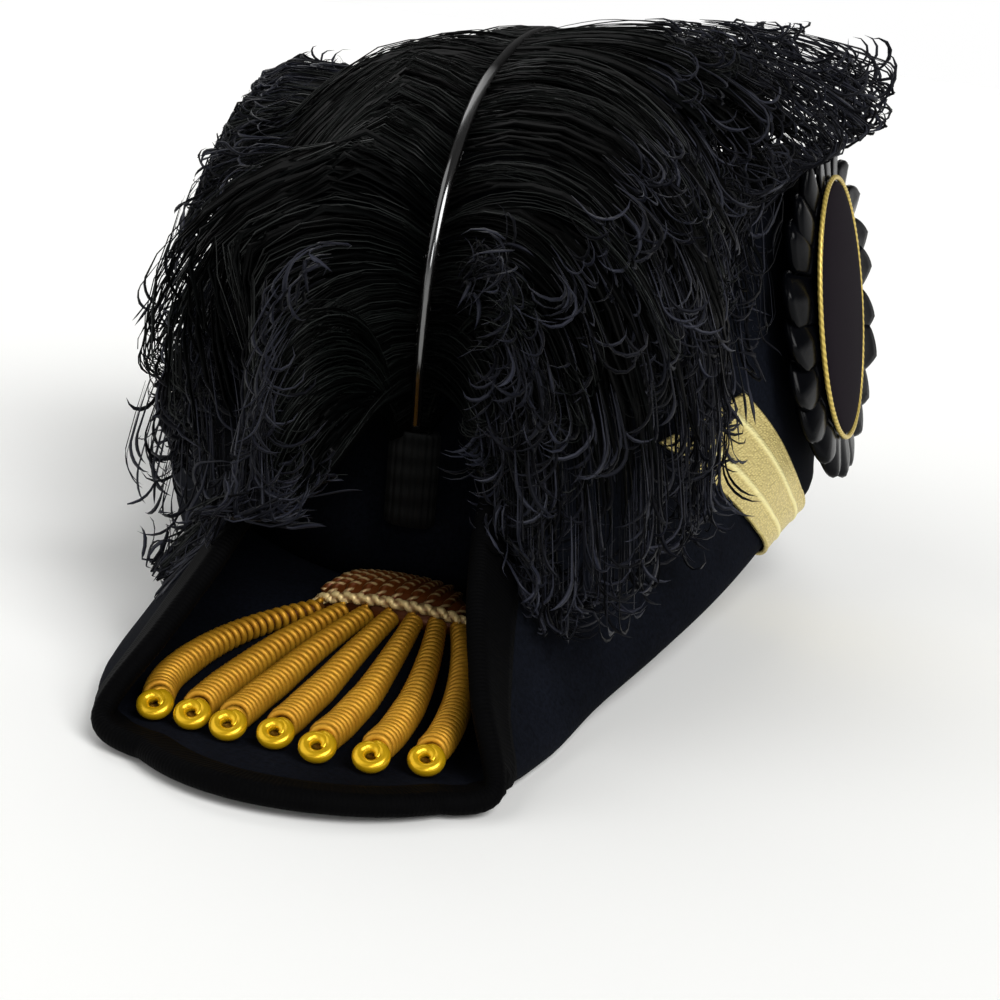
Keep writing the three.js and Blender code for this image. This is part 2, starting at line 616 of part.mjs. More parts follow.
function rosetteRuffle() {
  const perPleat = 2;
  const count = ROSETTE.pleats * perPleat;
  const profiles = shares(count - 1, 0, 1 - 1 / count).map((turn) => {
    const angle = 2 * Math.PI * turn;
    const wave = RUFFLE.wave * Math.cos(ROSETTE.pleats * angle);
    const reach = 1 - 0.03 * Math.sin(ROSETTE.pleats * angle);
    const place = (halfX, halfY, z) =>
      new THREE.Vector3(halfX * Math.cos(angle), halfY * Math.sin(angle), z);
    return [
      place(RUFFLE.innerX, RUFFLE.innerY, RUFFLE.back),
      place(RUFFLE.innerX, RUFFLE.innerY, RUFFLE.front),
      place(RUFFLE.outerX * reach, RUFFLE.outerY * reach, RUFFLE.front + wave),
      place(RUFFLE.outerX * reach, RUFFLE.outerY * reach, RUFFLE.back + wave + 0.8),
    ];
  });
  const ring = solidFromRings(profiles, { loop: true });
  const depth = RUFFLE.front + ROSETTE.back - GAP;
  const back = new THREE.CylinderGeometry(0.4, 1.02, depth, 14);
  back.rotateX(-Math.PI / 2).translate(0, 0, RUFFLE.front - depth / 2);
  back.scale(RUFFLE.innerX, RUFFLE.innerY, 1);
  return onFan(fuse([ring, back]));
}

function rosetteDisc() {
  const profile = [
    [0, DISC.back],
    [1, DISC.back],
    [1, DISC.edge],
    [0.85, 0.35 * DISC.edge + 0.65 * DISC.middle],
    [0.5, DISC.middle - 0.3],
    [0, DISC.middle],
  ].map(([out, up]) => new THREE.Vector2(out, up));
  const dome = new THREE.LatheGeometry(profile, 28).rotateX(Math.PI / 2);
  return onFan(dome.scale(DISC.halfX, DISC.halfY, 1));
}

function rosetteRim() {
  const turns = shares(27, 0, 27 / 28);
  const rings = turns.map((turn) => {
    const angle = 2 * Math.PI * turn;
    const out = new THREE.Vector3(Math.cos(angle), Math.sin(angle), 0);
    const middle = new THREE.Vector3(
      (DISC.halfX + GAP + RIM_WIRE) * out.x,
      (DISC.halfY + GAP + RIM_WIRE) * out.y,
      DISC.back + GAP + RIM_WIRE,
    );
    return shares(3, 0, 0.75).map((share) => {
      const roll = 2 * Math.PI * share;
      const bead = middle.clone().addScaledVector(out, RIM_WIRE * Math.cos(roll));
      bead.z += RIM_WIRE * Math.sin(roll);
      return bead;
    });
  });
  return onFan(solidFromRings(rings, { loop: true }));
}

// Materials by what the pieces are made of.
const felt = { color: 0x15161b, roughness: 0.95 };
const ribbon = { color: 0x101014, roughness: 0.7 };
const bullionWire = { color: 0xd9a441, roughness: 0.3, metalness: 1 };
const woundThread = { color: 0x7a4a12, roughness: 0.55, metalness: 0.6 };
const elastic = { color: 0x121214, roughness: 0.8 };
const quillHorn = { color: 0x0b0b0c, roughness: 0.2 };
const feather = { color: 0x0d0e10, roughness: 0.6 };
const lace = { color: 0xd8b86a, roughness: 0.4, metalness: 0.8 };
const satin = { color: 0x14141a, roughness: 0.45 };
const padding = { color: 0x1e181e, roughness: 0.85 };

const hat = new THREE.Group();
hat.name = "plumed_hat";

function add(name, geometry, look) {
  geometry.translate(ASIDE, 0, 0);
  const piece = new THREE.Mesh(geometry, new THREE.MeshStandardMaterial(look));
  piece.name = name;
  hat.add(piece);
}

add("brim", brim(), felt);
add("crown", crown(), felt);
add("edge_binding", edgeBinding(), ribbon);
add("tassel_head", tasselHead(), woundThread);
ROPES.forEach((rope, i) => add(`bullion_${i + 1}`, bullion(rope), bullionWire));
add("plume_socket", plumeSocket(), elastic);
add("plume_quill", plumeQuill(), quillHorn);
add("plume_vane_left", plumeVane(-1, LEFT_LOCKS), feather);
add("plume_vane_right", plumeVane(1, RIGHT_LOCKS), feather);
add("gold_strap", goldStrap(), lace);
add("rosette_ruffle", rosetteRuffle(), satin);
add("rosette_disc", rosetteDisc(), padding);
add("rosette_rim", rosetteRim(), bullionWire);

export default hat;
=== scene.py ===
import math

import bpy
import numpy as np
from mathutils import Matrix, Vector


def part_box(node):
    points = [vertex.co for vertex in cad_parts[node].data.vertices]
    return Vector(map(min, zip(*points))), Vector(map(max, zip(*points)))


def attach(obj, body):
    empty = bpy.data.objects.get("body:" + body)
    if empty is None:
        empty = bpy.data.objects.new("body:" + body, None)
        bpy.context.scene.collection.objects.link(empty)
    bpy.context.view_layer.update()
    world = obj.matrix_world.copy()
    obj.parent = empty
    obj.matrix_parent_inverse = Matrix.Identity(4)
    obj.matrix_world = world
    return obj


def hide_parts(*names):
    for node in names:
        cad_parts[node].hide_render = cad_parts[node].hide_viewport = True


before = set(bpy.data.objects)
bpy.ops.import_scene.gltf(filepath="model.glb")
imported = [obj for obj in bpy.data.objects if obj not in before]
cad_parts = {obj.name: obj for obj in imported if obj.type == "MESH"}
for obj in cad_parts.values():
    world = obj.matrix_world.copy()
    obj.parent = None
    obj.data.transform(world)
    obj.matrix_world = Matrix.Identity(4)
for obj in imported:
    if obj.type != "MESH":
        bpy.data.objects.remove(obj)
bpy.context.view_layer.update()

# Brim. One hood of black wool felt, stiffened and blocked over a form: its sides stand up as two tall
# fans and its ends run out as blunt peaks. The middle is cut out in an oval for the head.
# Sizes are millimetres, measured from the felt's own middle plane and from the table.
MM = 0.001
MIDDLE_X = sum(corner.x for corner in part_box("brim")) / 2 / MM
FELT = 2.5
HALF_LENGTH = 219
PEAK_SHOULDER = 187  # where the rounded end of a peak begins
PEAK_ROUNDNESS = 2.1
FOLD = 9  # how softly the felt turns up into a fan
FOLD_MOST = 0.45  # share of a low fan that the fold may take up
HEAD_HALF_WIDTH = 75
HEAD_HALF_LENGTH = 103
FLOOR_END, FAN_START = 0.42, 0.6  # shares of a half section: floor, then fold, then fan
FLOOR_WIDTH, FOLD_WIDTH = 0.81, 0.95  # shares of a peak's half width at those two places
BRIM_SECTIONS = [
    # along, foot x, foot z, edge x, edge z, belly of the fan, tuck of the foot on the wearer's right
    (0, 91, 25, 71, 118, 3, 0),
    (40, 84, 21, 60, 112, 2.5, 2),
    (80, 74.5, 13.5, 41, 93, 1, 8),
    (115, 64, 7.5, 27, 67, 0, 13),
    (145, 54.5, 3, 23.5, 47, 0, 3.5),
    (168, 49, 0, 26.5, 31.5, 0, -1.5),
    (184, 45, 0, 31.5, 19, 0, -2),
    (194, 42, 0.8, 35.2, 11.5, 0, 0),
    (204, 39.5, 1.6, 38.2, 6, 0, 3),
    (218, 38.4, 2.5, 38.4, 5.5, 0, 4),
]


def smooth_rows(rows, place):
    """Columns of a table at places in its first column, by cubics that are level at the first row."""
    rows = np.asarray(rows, float)
    at, value = rows[:, 0], rows[:, 1:]
    slope = np.zeros_like(value)
    slope[1:-1] = (value[2:] - value[:-2]) / (at[2:] - at[:-2])[:, None]
    slope[-1] = (value[-1] - value[-2]) / (at[-1] - at[-2])
    place = np.asarray(place, float)
    i = np.clip(np.searchsorted(at, place, "right") - 1, 0, len(at) - 2)
    span = (at[i + 1] - at[i])[..., None]
    t = np.clip((place - at[i])[..., None] / span, 0, 1)
    bend = t * t * (3 - 2 * t)
    rise = t * (1 - t) * ((1 - t) * slope[i] - t * slope[i + 1])
    return np.moveaxis(value[i] + (value[i + 1] - value[i]) * bend + rise * span, -1, 0)


def brim_at(y, side=1):
    """Foot x and z, edge x and z and belly of the brim's section at y, to the middle of the felt. Side is
    below 0 on the wearer's right."""
    along = np.minimum(np.abs(y), HALF_LENGTH)
    foot_x, foot_z, edge_x, edge_z, belly, tuck = smooth_rows(BRIM_SECTIONS, along)
    foot_x = foot_x - np.where(np.asarray(side) < 0, tuck, 0)
    return foot_x, np.maximum(0, foot_z) + FELT / 2, edge_x, edge_z + FELT / 2, np.maximum(0, belly)


def brim_point(across, y):
    """A point of the felt's middle surface: across runs from the right edge, -1, to the left edge, 1."""
    across, y = np.broadcast_arrays(np.asarray(across, float), np.asarray(y, float))
    foot_x, foot_z, edge_x, edge_z, belly = brim_at(y, across)
    share = np.abs(across)
    turned = np.minimum(FOLD / np.hypot(edge_x - foot_x, edge_z - foot_z), FOLD_MOST)
    start_x = foot_x + (edge_x - foot_x) * turned
    start_z = foot_z + (edge_z - foot_z) * turned
    fold = np.clip((share - FLOOR_END) / (FAN_START - FLOOR_END), 0, 1)
    up = (share - FAN_START) / (1 - FAN_START)
    floor_x = (foot_x - FOLD) * share / FLOOR_END
    fold_x = (1 - fold) ** 2 * (foot_x - FOLD) + 2 * fold * (1 - fold) * foot_x + fold**2 * start_x
    fold_z = (1 - fold**2) * foot_z + fold**2 * start_z
    fan_x = start_x + (edge_x - start_x) * up + 4 * belly * up * (1 - up)
    fan_z = start_z + (edge_z - start_z) * up
    x = np.select([share <= FLOOR_END, share < FAN_START], [floor_x, fold_x], fan_x)
    z = np.select([share <= FLOOR_END, share < FAN_START], [foot_z, fold_z], fan_z)
    return np.stack([np.sign(across) * x, y, z], -1)


def unit(vectors):
    """Vectors along the last axis, brought to length 1."""
    return vectors / np.maximum(np.linalg.norm(vectors, axis=-1, keepdims=True), 1e-9)


def brim_slopes(across, y):
    """How the middle surface moves with across and with y."""
    step = 1e-3
    slope_across = (brim_point(across + step, y) - brim_point(across - step, y)) / (2 * step)
    slope_y = (brim_point(across, y + step) - brim_point(across, y - step)) / (2 * step)
    return slope_across, slope_y


def brim_normal(across, y):
    """Out of the hat: down under the floor, and outward on the fans."""
    slope_across, slope_y = brim_slopes(across, y)
    return unit(np.cross(slope_y, slope_across))


def peak_reach(share):
    """How far a line of the brim reaches towards a tip, which rounds the peaks."""
    width = np.interp(share, [0, FLOOR_END, FAN_START, 1], [0, FLOOR_WIDTH, FOLD_WIDTH, 1])
    rounded = (1 - width**PEAK_ROUNDNESS) ** (1 / PEAK_ROUNDNESS)
    return PEAK_SHOULDER + (HALF_LENGTH - PEAK_SHOULDER) * rounded


def floor_top(y):
    """Top of the felt on the floor of a peak."""
    return brim_at(y)[1] + FELT / 2


def grid_faces(rows, columns, loop_rows=False, loop_columns=False):
    """Quads of a grid of points kept row by row."""
    index = np.arange(rows * columns).reshape(rows, columns)
    if loop_rows:
        index = np.vstack([index, index[:1]])
    if loop_columns:
        index = np.hstack([index, index[:, :1]])
    corners = [index[:-1, :-1], index[:-1, 1:], index[1:, 1:], index[1:, :-1]]
    return np.stack(corners, -1).reshape(-1, 4)


def mesh_piece(name, points, faces, material, **columns):
    """A smooth mesh from points in millimetres and arrays of faces, with a number at each point for
    each named column, which its material reads."""
    mesh = bpy.data.meshes.new(name)
    points = np.asarray(points, float).reshape(-1, 3) + (MIDDLE_X, 0, 0)
    corners = np.concatenate([np.ravel(some) for some in faces])
    sizes = np.concatenate([np.full(len(some), some.shape[1]) for some in faces])
    mesh.vertices.add(len(points))
    mesh.vertices.foreach_set("co", np.ravel(points * MM))
    mesh.loops.add(len(corners))
    mesh.loops.foreach_set("vertex_index", corners)
    mesh.polygons.add(len(sizes))
    mesh.polygons.foreach_set("loop_start", np.cumsum(sizes) - sizes)
    mesh.polygons.foreach_set("use_smooth", np.ones(len(sizes), bool))
    mesh.update(calc_edges=True)
    for column, values in columns.items():
        attribute = mesh.attributes.new(column, "FLOAT", "POINT")
        attribute.data.foreach_set("value", np.ravel(values).astype(np.float32))
    mesh.materials.append(material)
    piece = bpy.data.objects.new(name, mesh)
    bpy.context.scene.collection.objects.link(piece)
    return piece


def thicken(piece, thickness, offset=0):
    """Gives a sheet its thickness in millimetres: half on each side, or all inward at an offset of -1."""
    sheet = piece.modifiers.new("thickness", "SOLIDIFY")
    sheet.thickness = thickness * MM
    sheet.offset = offset


def stands_for(piece, slot, *nodes):
    """Fixes a piece to the hat in place of the solids that it dresses."""
    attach(piece, "root")
    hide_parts(*nodes)


def colour(code):
    """An sRGB hex value as a linear colour."""
    parts = [int(code[i : i + 2], 16) / 255 for i in (1, 3, 5)]
    linear = [c / 12.92 if c <= 0.04045 else ((c + 0.055) / 1.055) ** 2.4 for c in parts]
    return (*linear, 1)


def bare_material(name):
    """A material without nodes."""
    material = bpy.data.materials.new(name)
    material.use_nodes = True
    material.node_tree.nodes.clear()
    return material


def add_node(material, kind, inputs=(), give=0, **settings):
    """Adds a shader node and gives back one of its outputs. Inputs and outputs are named, or numbered where
    names repeat. An input takes a value or the output of another node."""
    tree = material.node_tree
    node = tree.nodes.new("ShaderNode" + kind)
    for name, value in settings.items():
        setattr(node, name, value)
    for name, value in dict(inputs).items():
        if isinstance(value, bpy.types.NodeSocket):
            tree.links.new(value, node.inputs[name])
        else:
            node.inputs[name].default_value = value
    return node.outputs[give] if node.outputs else None


# Wool felt: matted fibres with no shine, a little paler where the nap catches the light, and a fine
# pebbled surface. The nap of 0.5 mm is drawn as 0.9 mm so that it shows.
FELT_NAP = 0.9
FELT_CLOUDS = 35
wool_felt = bare_material("black_wool_felt")
place = add_node(wool_felt, "TexCoord", give="Object")
nap = add_node(
    wool_felt, "TexNoise", {"Vector": place, "Scale": 1 / (FELT_NAP * MM), "Detail": 4, "Roughness": 0.65}
)
clouds = add_node(wool_felt, "TexNoise", {"Vector": place, "Scale": 1 / (FELT_CLOUDS * MM), "Detail": 3})
mottle = add_node(wool_felt, "Math", {0: nap, 1: clouds}, operation="MULTIPLY")
shade = add_node(wool_felt, "MapRange", {"Value": mottle, "From Min": 0.12, "From Max": 0.42})
tint = add_node(
    wool_felt, "Mix", {0: shade, 6: colour("#050609"), 7: colour("#11141c")}, give=2, data_type="RGBA"
)
pebble = add_node(wool_felt, "Bump", {"Strength": 0.55, "Distance": 0.25 * MM, "Height": nap})
surface = add_node(
    wool_felt,
    "BsdfPrincipled",
    {"Base Color": tint, "Roughness": 0.95, "Specular IOR Level": 0.03, "Normal": pebble},
)
add_node(wool_felt, "OutputMaterial", {"Surface": surface})

HOLE_STEPS, PEAK_STEPS, TIP_STEPS = 48, 12, 20
STRETCH_FROM = 150  # beyond it the rows bend to follow the rounded tip
FLOOR_STEPS, FOLD_STEPS, FAN_STEPS = 9, 9, 24
hole_turn = np.linspace(-math.pi / 2, math.pi / 2, HOLE_STEPS + 1)
peak_y = np.linspace(HEAD_HALF_LENGTH, STRETCH_FROM, PEAK_STEPS + 1)[1:]
tip_share = 1 - (1 - np.linspace(0, 1, TIP_STEPS + 1)[1:]) ** 2
row_y = np.concatenate([HEAD_HALF_LENGTH * np.sin(hole_turn[HOLE_STEPS // 2 :]), peak_y])
row_y = np.concatenate([row_y, np.full(TIP_STEPS, STRETCH_FROM)])
row_stretch = np.concatenate([np.zeros(len(row_y) - TIP_STEPS), tip_share])
row_y = np.concatenate([-row_y[:0:-1], row_y])
row_stretch = np.concatenate([row_stretch[:0:-1], row_stretch])
hole_x = HEAD_HALF_WIDTH * np.sqrt(np.maximum(0, 1 - (row_y / HEAD_HALF_LENGTH) ** 2))
turned_share = np.concatenate(
    [np.linspace(FLOOR_END, FAN_START, FOLD_STEPS + 1)[:-1], np.linspace(FAN_START, 1, FAN_STEPS + 1)]
)
floor_part = np.linspace(0, 1, FLOOR_STEPS + 1)[:-1]
felt_points, felt_faces = [], []
for side in (1, -1):
    hole_share = FLOOR_END * hole_x / (brim_at(row_y, side)[0] - FOLD)
    floor_share = hole_share[:, None] + (FLOOR_END - hole_share[:, None]) * floor_part
    half_share = np.hstack([floor_share, np.tile(turned_share, (len(row_y), 1))])
    stretch = row_stretch[:, None] * (peak_reach(half_share) - STRETCH_FROM)
    half_y = row_y[:, None] + np.sign(row_y)[:, None] * stretch
    half_faces = grid_faces(*half_share.shape)
    felt_faces.append(half_faces[:, ::-side] + len(felt_points) * half_share.size)
    felt_points.append(brim_point(side * half_share, half_y).reshape(-1, 3))
felt_faces = np.concatenate(felt_faces)
felt_points = np.concatenate(felt_points)
felt_points, welded = np.unique(felt_points.round(4), axis=0, return_inverse=True)
brim = mesh_piece("felt_brim", felt_points, [welded.reshape(-1)[felt_faces]], wool_felt)
thicken(brim, FELT)
stands_for(brim, "felt", "brim")

# Crown. The same felt, steamed over an oval block into a deep dome, and sewn down to the brim round the
# hole. It is open below, where the head goes in.
CROWN_FELT = 2
CROWN_TOP = 117
CROWN_SQUARENESS = 2.8
SEAM = 0.35  # what is left between pieces that touch
CROWN_TURNS, CROWN_ROWS = 96, 30


def crown_point(turn, climb):
    """The dome's outer face: turn goes round it, climb from its foot, 0, to its top, a quarter turn."""
    power = 2 / CROWN_SQUARENESS
    out_x = (HEAD_HALF_WIDTH + SEAM + CROWN_FELT) * np.cos(turn)
    out_y = (HEAD_HALF_LENGTH + SEAM + CROWN_FELT) * np.sin(turn)
    foot = floor_top(out_y) + SEAM
    inward = np.maximum(0, np.cos(climb)) ** power
    z = foot + (CROWN_TOP - foot) * np.sin(climb) ** power
    return np.stack([out_x * inward, out_y * inward, z], -1)


def full_turn(count):
    """Angles evenly round a circle."""
    return np.linspace(0, 2 * math.pi, count + 1)[:-1]


def cap(ring, middle):
    """Triangles from a ring of points to one point in its middle."""
    return np.stack([ring, np.roll(ring, -1), np.full(len(ring), middle)], -1)


crown_turn = full_turn(CROWN_TURNS)
crown_climb = np.linspace(0, math.pi / 2, CROWN_ROWS + 1)
dome = crown_point(crown_turn[None, :], crown_climb[:-1, None]).reshape(-1, 3)
dome = np.vstack([dome, (0, 0, CROWN_TOP)])
top_row = np.arange(CROWN_TURNS) + (CROWN_ROWS - 1) * CROWN_TURNS
crown_faces = [grid_faces(CROWN_ROWS, CROWN_TURNS, loop_columns=True), cap(top_row, len(dome) - 1)]
crown = mesh_piece("felt_crown", dome, crown_faces, wool_felt)
thicken(crown, CROWN_FELT, offset=-1)
stands_for(crown, "felt", "crown")

# Edge binding. A black ribbed ribbon, folded in half over the whole edge of the brim and sewn through,
# with its two ends butted together behind.
RIBBON = 0.6
BINDING_SIDE, BINDING_TIP = 11, 5  # how far it reaches in from the edge
BINDING_NARROWS = (160, 205)  # places towards a tip between which it narrows
BINDING_LIE, BINDING_LOOSE = 0.12, 0.2  # off the felt at its hem, and more at its fold
RIB_PITCH = 0.9
SIDE_STEPS, ROUND_STEPS = 130, 44
LEAF_STEPS, FOLD_TURNS = 6, 8

# Ribbed ribbon: dull warp with fine cross ribs. Its ribs of 0.7 mm are drawn as 0.9 mm so that they show.
LINT = 3
ribbed_ribbon = bare_material("black_grosgrain_ribbon")
run = add_node(ribbed_ribbon, "Attribute", give="Fac", attribute_name="run")
wave = add_node(ribbed_ribbon, "Math", {0: run, 1: 2 * math.pi / RIB_PITCH}, operation="MULTIPLY")
rib = add_node(ribbed_ribbon, "Math", {0: wave}, operation="SINE")
place = add_node(ribbed_ribbon, "TexCoord", give="Object")
lint = add_node(
    ribbed_ribbon, "TexNoise", {"Vector": place, "Scale": 1 / (LINT * MM), "Detail": 5, "Roughness": 0.7}
)
tint = add_node(
    ribbed_ribbon, "Mix", {0: lint, 6: colour("#010101"), 7: colour("#040405")}, give=2, data_type="RGBA"
)
ribs = add_node(ribbed_ribbon, "Bump", {"Strength": 0.4, "Distance": 0.1 * MM, "Height": rib})
surface = add_node(
    ribbed_ribbon,
    "BsdfPrincipled",
    {"Base Color": tint, "Roughness": 0.75, "Specular IOR Level": 0.03, "Normal": ribs},
)
add_node(ribbed_ribbon, "OutputMaterial", {"Surface": surface})

# The edge as a loop of places, from the middle of the rear tip round the right side.
round_turn = np.linspace(0, math.pi / 2, ROUND_STEPS + 1)
round_width = np.sin(round_turn) ** (2 / PEAK_ROUNDNESS)
round_share = np.interp(round_width, [0, FLOOR_WIDTH, FOLD_WIDTH, 1], [0, FLOOR_END, FAN_START, 1])
round_y = peak_reach(round_share)
side_y = np.linspace(PEAK_SHOULDER, -PEAK_SHOULDER, SIDE_STEPS + 1)[1:-1]
right_share = np.concatenate([round_share, np.ones(SIDE_STEPS - 1), round_share[::-1]])
right_y = np.concatenate([round_y, side_y, -round_y[::-1]])
edge_across = np.concatenate([-right_share, right_share[-2::-1]])
edge_y = np.concatenate([right_y, right_y[-2::-1]])
BUTT = 0.004  # the last place stops this share short of the first, where the ribbon's ends meet
edge_across[-1] = BUTT
edge = brim_point(edge_across, edge_y)
edge_run = np.concatenate([[0], np.cumsum(np.linalg.norm(np.diff(edge, axis=0), axis=1))])
edge_ahead = unit(np.roll(edge, -1, axis=0) - np.roll(edge, 1, axis=0))
edge_out = brim_normal(edge_across, edge_y)
edge_in = unit(np.cross(edge_ahead, edge_out))
to_tip = np.interp(np.abs(edge_y), BINDING_NARROWS, (0, 1))
reach_in = BINDING_SIDE + (BINDING_TIP - BINDING_SIDE) * to_tip * to_tip * (3 - 2 * to_tip)

leaf_places = [(edge_across, edge_y)]
inward = edge_in
for _ in range(LEAF_STEPS):
    across, y = leaf_places[-1]
    slope_across, slope_y = brim_slopes(across, y)
    out = brim_normal(across, y)
    inward = unit(inward - out * np.sum(inward * out, -1, keepdims=True))
    step = inward * (reach_in / LEAF_STEPS)[:, None]
    # Shares of the step along the two slopes of the felt.
    aa = np.sum(slope_across**2, -1)
    yy = np.sum(slope_y**2, -1)
    ay = np.sum(slope_across * slope_y, -1)
    sa = np.sum(slope_across * step, -1)
    sy = np.sum(slope_y * step, -1)
    spread = aa * yy - ay**2
    leaf_places.append((across + (sa * yy - sy * ay) / spread, y + (sy * aa - sa * ay) / spread))


def binding_face(depth):
    """One face of the folded ribbon, from its outer hem round the edge to its inner hem."""
    lines = []
    lie = FELT / 2 + BINDING_LIE + depth
    for side in (1, -1):
        leaf = []
        for k, (across, y) in enumerate(leaf_places):
            loose = BINDING_LOOSE * (1 - k / LEAF_STEPS) ** 2
            leaf.append(brim_point(across, y) + side * (lie + loose) * brim_normal(across, y))
        lines.append(leaf)
    fold = []
    for turn in np.linspace(0, math.pi, FOLD_TURNS + 1)[1:-1]:
        over = math.cos(turn) * edge_out - math.sin(turn) * edge_in
        fold.append(edge + (lie + BINDING_LOOSE) * over)
    return [*lines[0][::-1], *fold, *lines[1]]


channel = np.stack([*binding_face(RIBBON), *binding_face(0)[::-1]], axis=1)
binding = mesh_piece(
    "grosgrain_binding",
    channel,
    [grid_faces(channel.shape[0], channel.shape[1], loop_rows=True, loop_columns=True)],
    ribbed_ribbon,
    run=np.repeat(edge_run, channel.shape[1]),
)
stands_for(binding, "ribbon", "edge_binding")

# Tassel head. Brown and gilt cords laid slantwise side by side over a padded core, and a pale gimp cord
# that is couched along their lower edge, over the roots of the ropes.
HEAD_SECTIONS = [
    # y, middle x, half width, height
    (-124.6, 1.6, 17.8, 4.6),
    (-121, 1.4, 18.2, 6.6),
    (-113, 0.6, 15.2, 6),
    (-107, 0, 13, 3.6),
]
HEAD_FRONT, HEAD_REAR = HEAD_SECTIONS[0][0], HEAD_SECTIONS[-1][0]
HEAD_END, HEAD_ROUNDNESS = 1, 0.35  # height of the core at its two ends, and how fast it rises from them
CORE_ROWS, CORE_COLUMNS = 15, 25
CORD_COUNT, CORD_RADIUS, CORD_SLANT, CORD_PITCH, CORD_DEPTH = 13, 0.85, 0.5, 2.6, 0.16
CORD_STEPS, CORD_SIDES = 60, 10
LAST_CORD, CORD_STOP, SHORTEST_CORD = 0.96, 0.97, 0.15  # shares of the core's half width and of a cord
GIMP_RADIUS, GIMP_PITCH, GIMP_DEPTH, GIMP_WANDER = 1.15, 3.2, 0.2, 0.12
GIMP_OFF = (0, -0.9, 0.75)  # from the core's front edge to the middle of the gimp
GIMP_STEPS = 220
# The gimp's thread is paler, so it is set higher on the scale that paints the crests pale as highlight.
GIMP_PALER = 1.4  # above the cords on their scale from groove to crest


def head_point(share, y):
    """Top of the padded core: share runs from its right end, -1, to its left end, 1."""
    middle, half, height = smooth_rows(HEAD_SECTIONS, y)
    crest = np.maximum(0, 1 - share**2) ** HEAD_ROUNDNESS
    z = floor_top(y) + SEAM + HEAD_END + (height - HEAD_END) * crest
    return np.stack([middle + half * share, y + 0 * share, z], -1)


def tubes(paths, radii, sides, beside, flat=1):
    """Closed tubes along paths of equal counts of points. They are round, or flattened along beside by the
    factor flat. No path runs along beside."""
    ahead = unit(np.gradient(paths, axis=1))
    side = unit(np.cross(ahead, beside))
    top = flat * np.cross(ahead, side)
    turn = full_turn(sides)[:, None]
    ring = np.cos(turn) * side[:, :, None] + np.sin(turn) * top[:, :, None]
    radii = np.broadcast_to(radii, (*paths.shape[:2], sides))
    points = paths[:, :, None] + radii[..., None] * ring
    index = np.arange(points[..., 0].size).reshape(points.shape[:3])
    here, there = index[:, :-1], index[:, 1:]
    walls = [here, np.roll(here, -1, 2), np.roll(there, -1, 2), there]
    ends = np.concatenate([index[:, 0, ::-1], index[:, -1]])
    return points.reshape(-1, 3), [np.stack(walls, -1).reshape(-1, 4), ends]


def twisted(paths, radius, sides, pitch, depth):
    """Radii of two-ply cords along paths, and how far up a ply each point lies, from -1 to 1."""
    length = np.linalg.norm(np.diff(paths, axis=1, prepend=paths[:, :1]), axis=-1).cumsum(1)
    turn = full_turn(sides)
    ply = np.cos(2 * turn - 2 * math.pi * length[..., None] / pitch)
    return radius * (1 + depth * ply), ply


def joined(parts):
    """Several (points, faces, column) as one."""
    points, faces, columns, first = [], [], [], 0
    for some_points, some_faces, some_column in parts:
        points.append(some_points)
        faces += [face + first for face in some_faces]
        columns.append(np.ravel(some_column))
        first += len(some_points)
    return np.concatenate(points), faces, np.concatenate(columns)


# Gilt cord: metal thread wound over brown silk. The crests of its plies, in random flecks, are painted pale
# gold, partly the gilt's own colour and partly a painted highlight where they glint; the rest keeps the
# silk's brown.
GLINT_FLECK, WINDING = 1.6, 0.4
gilt_cord = bare_material("gilt_wound_cord")
crest = add_node(gilt_cord, "Attribute", give="Fac", attribute_name="crest")
place = add_node(gilt_cord, "TexCoord", give="Object")
glint_fleck = add_node(gilt_cord, "TexNoise", {"Vector": place, "Scale": 1 / (GLINT_FLECK * MM), "Detail": 3})
crest_glint = add_node(gilt_cord, "Math", {0: crest, 1: glint_fleck}, operation="ADD")
lit = add_node(gilt_cord, "MapRange", {"Value": crest_glint, "From Min": 0.6, "From Max": 2.2})
tint = add_node(
    gilt_cord, "Mix", {0: lit, 6: colour("#6a340a"), 7: colour("#f0d596")}, give=2, data_type="RGBA"
)
thread = add_node(gilt_cord, "TexNoise", {"Vector": place, "Scale": 1 / (WINDING * MM), "Detail": 2})
wound = add_node(gilt_cord, "Bump", {"Strength": 0.5, "Distance": 0.12 * MM, "Height": thread})
surface = add_node(
    gilt_cord,
    "BsdfPrincipled",
    {"Base Color": tint, "Metallic": 0.35, "Roughness": 0.45, "Normal": wound},
)
add_node(gilt_cord, "OutputMaterial", {"Surface": surface})

core_y = np.linspace(HEAD_FRONT, HEAD_REAR, CORE_ROWS)
core_share = np.cos(np.linspace(math.pi, 0, CORE_COLUMNS))
core_top = head_point(core_share[None, :], core_y[:, None])
core_foot = core_top[:, [-1, 0]].copy()
core_foot[..., 2] = floor_top(core_y)[:, None] + SEAM
core_rings = np.concatenate([core_top, core_foot], axis=1)
core_ends = np.arange(core_rings.shape[1])
core_last = core_ends + (len(core_y) - 1) * len(core_ends)
core_faces = grid_faces(*core_rings.shape[:2], loop_columns=True)
core_faces = [core_faces, core_ends[None, ::-1], core_last[None]]
head_parts = [(core_rings.reshape(-1, 3), core_faces, np.full(core_rings[..., 0].size, -1.0))]
cord_part = np.linspace(0, 1, CORD_STEPS)
for start in np.linspace(-1 - CORD_SLANT, LAST_CORD, CORD_COUNT):
    low = max(0, (-CORD_STOP - start) / CORD_SLANT)
    high = min(1, (CORD_STOP - start) / CORD_SLANT)
    if high - low < SHORTEST_CORD:
        continue
    part = low + (high - low) * cord_part
    path = head_point(start + CORD_SLANT * part, HEAD_FRONT + (HEAD_REAR - HEAD_FRONT) * part)[None]
    radii, ply = twisted(path, CORD_RADIUS, CORD_SIDES, CORD_PITCH, CORD_DEPTH)
    head_parts.append((*tubes(path, radii, CORD_SIDES, (1, 0, 0)), ply))
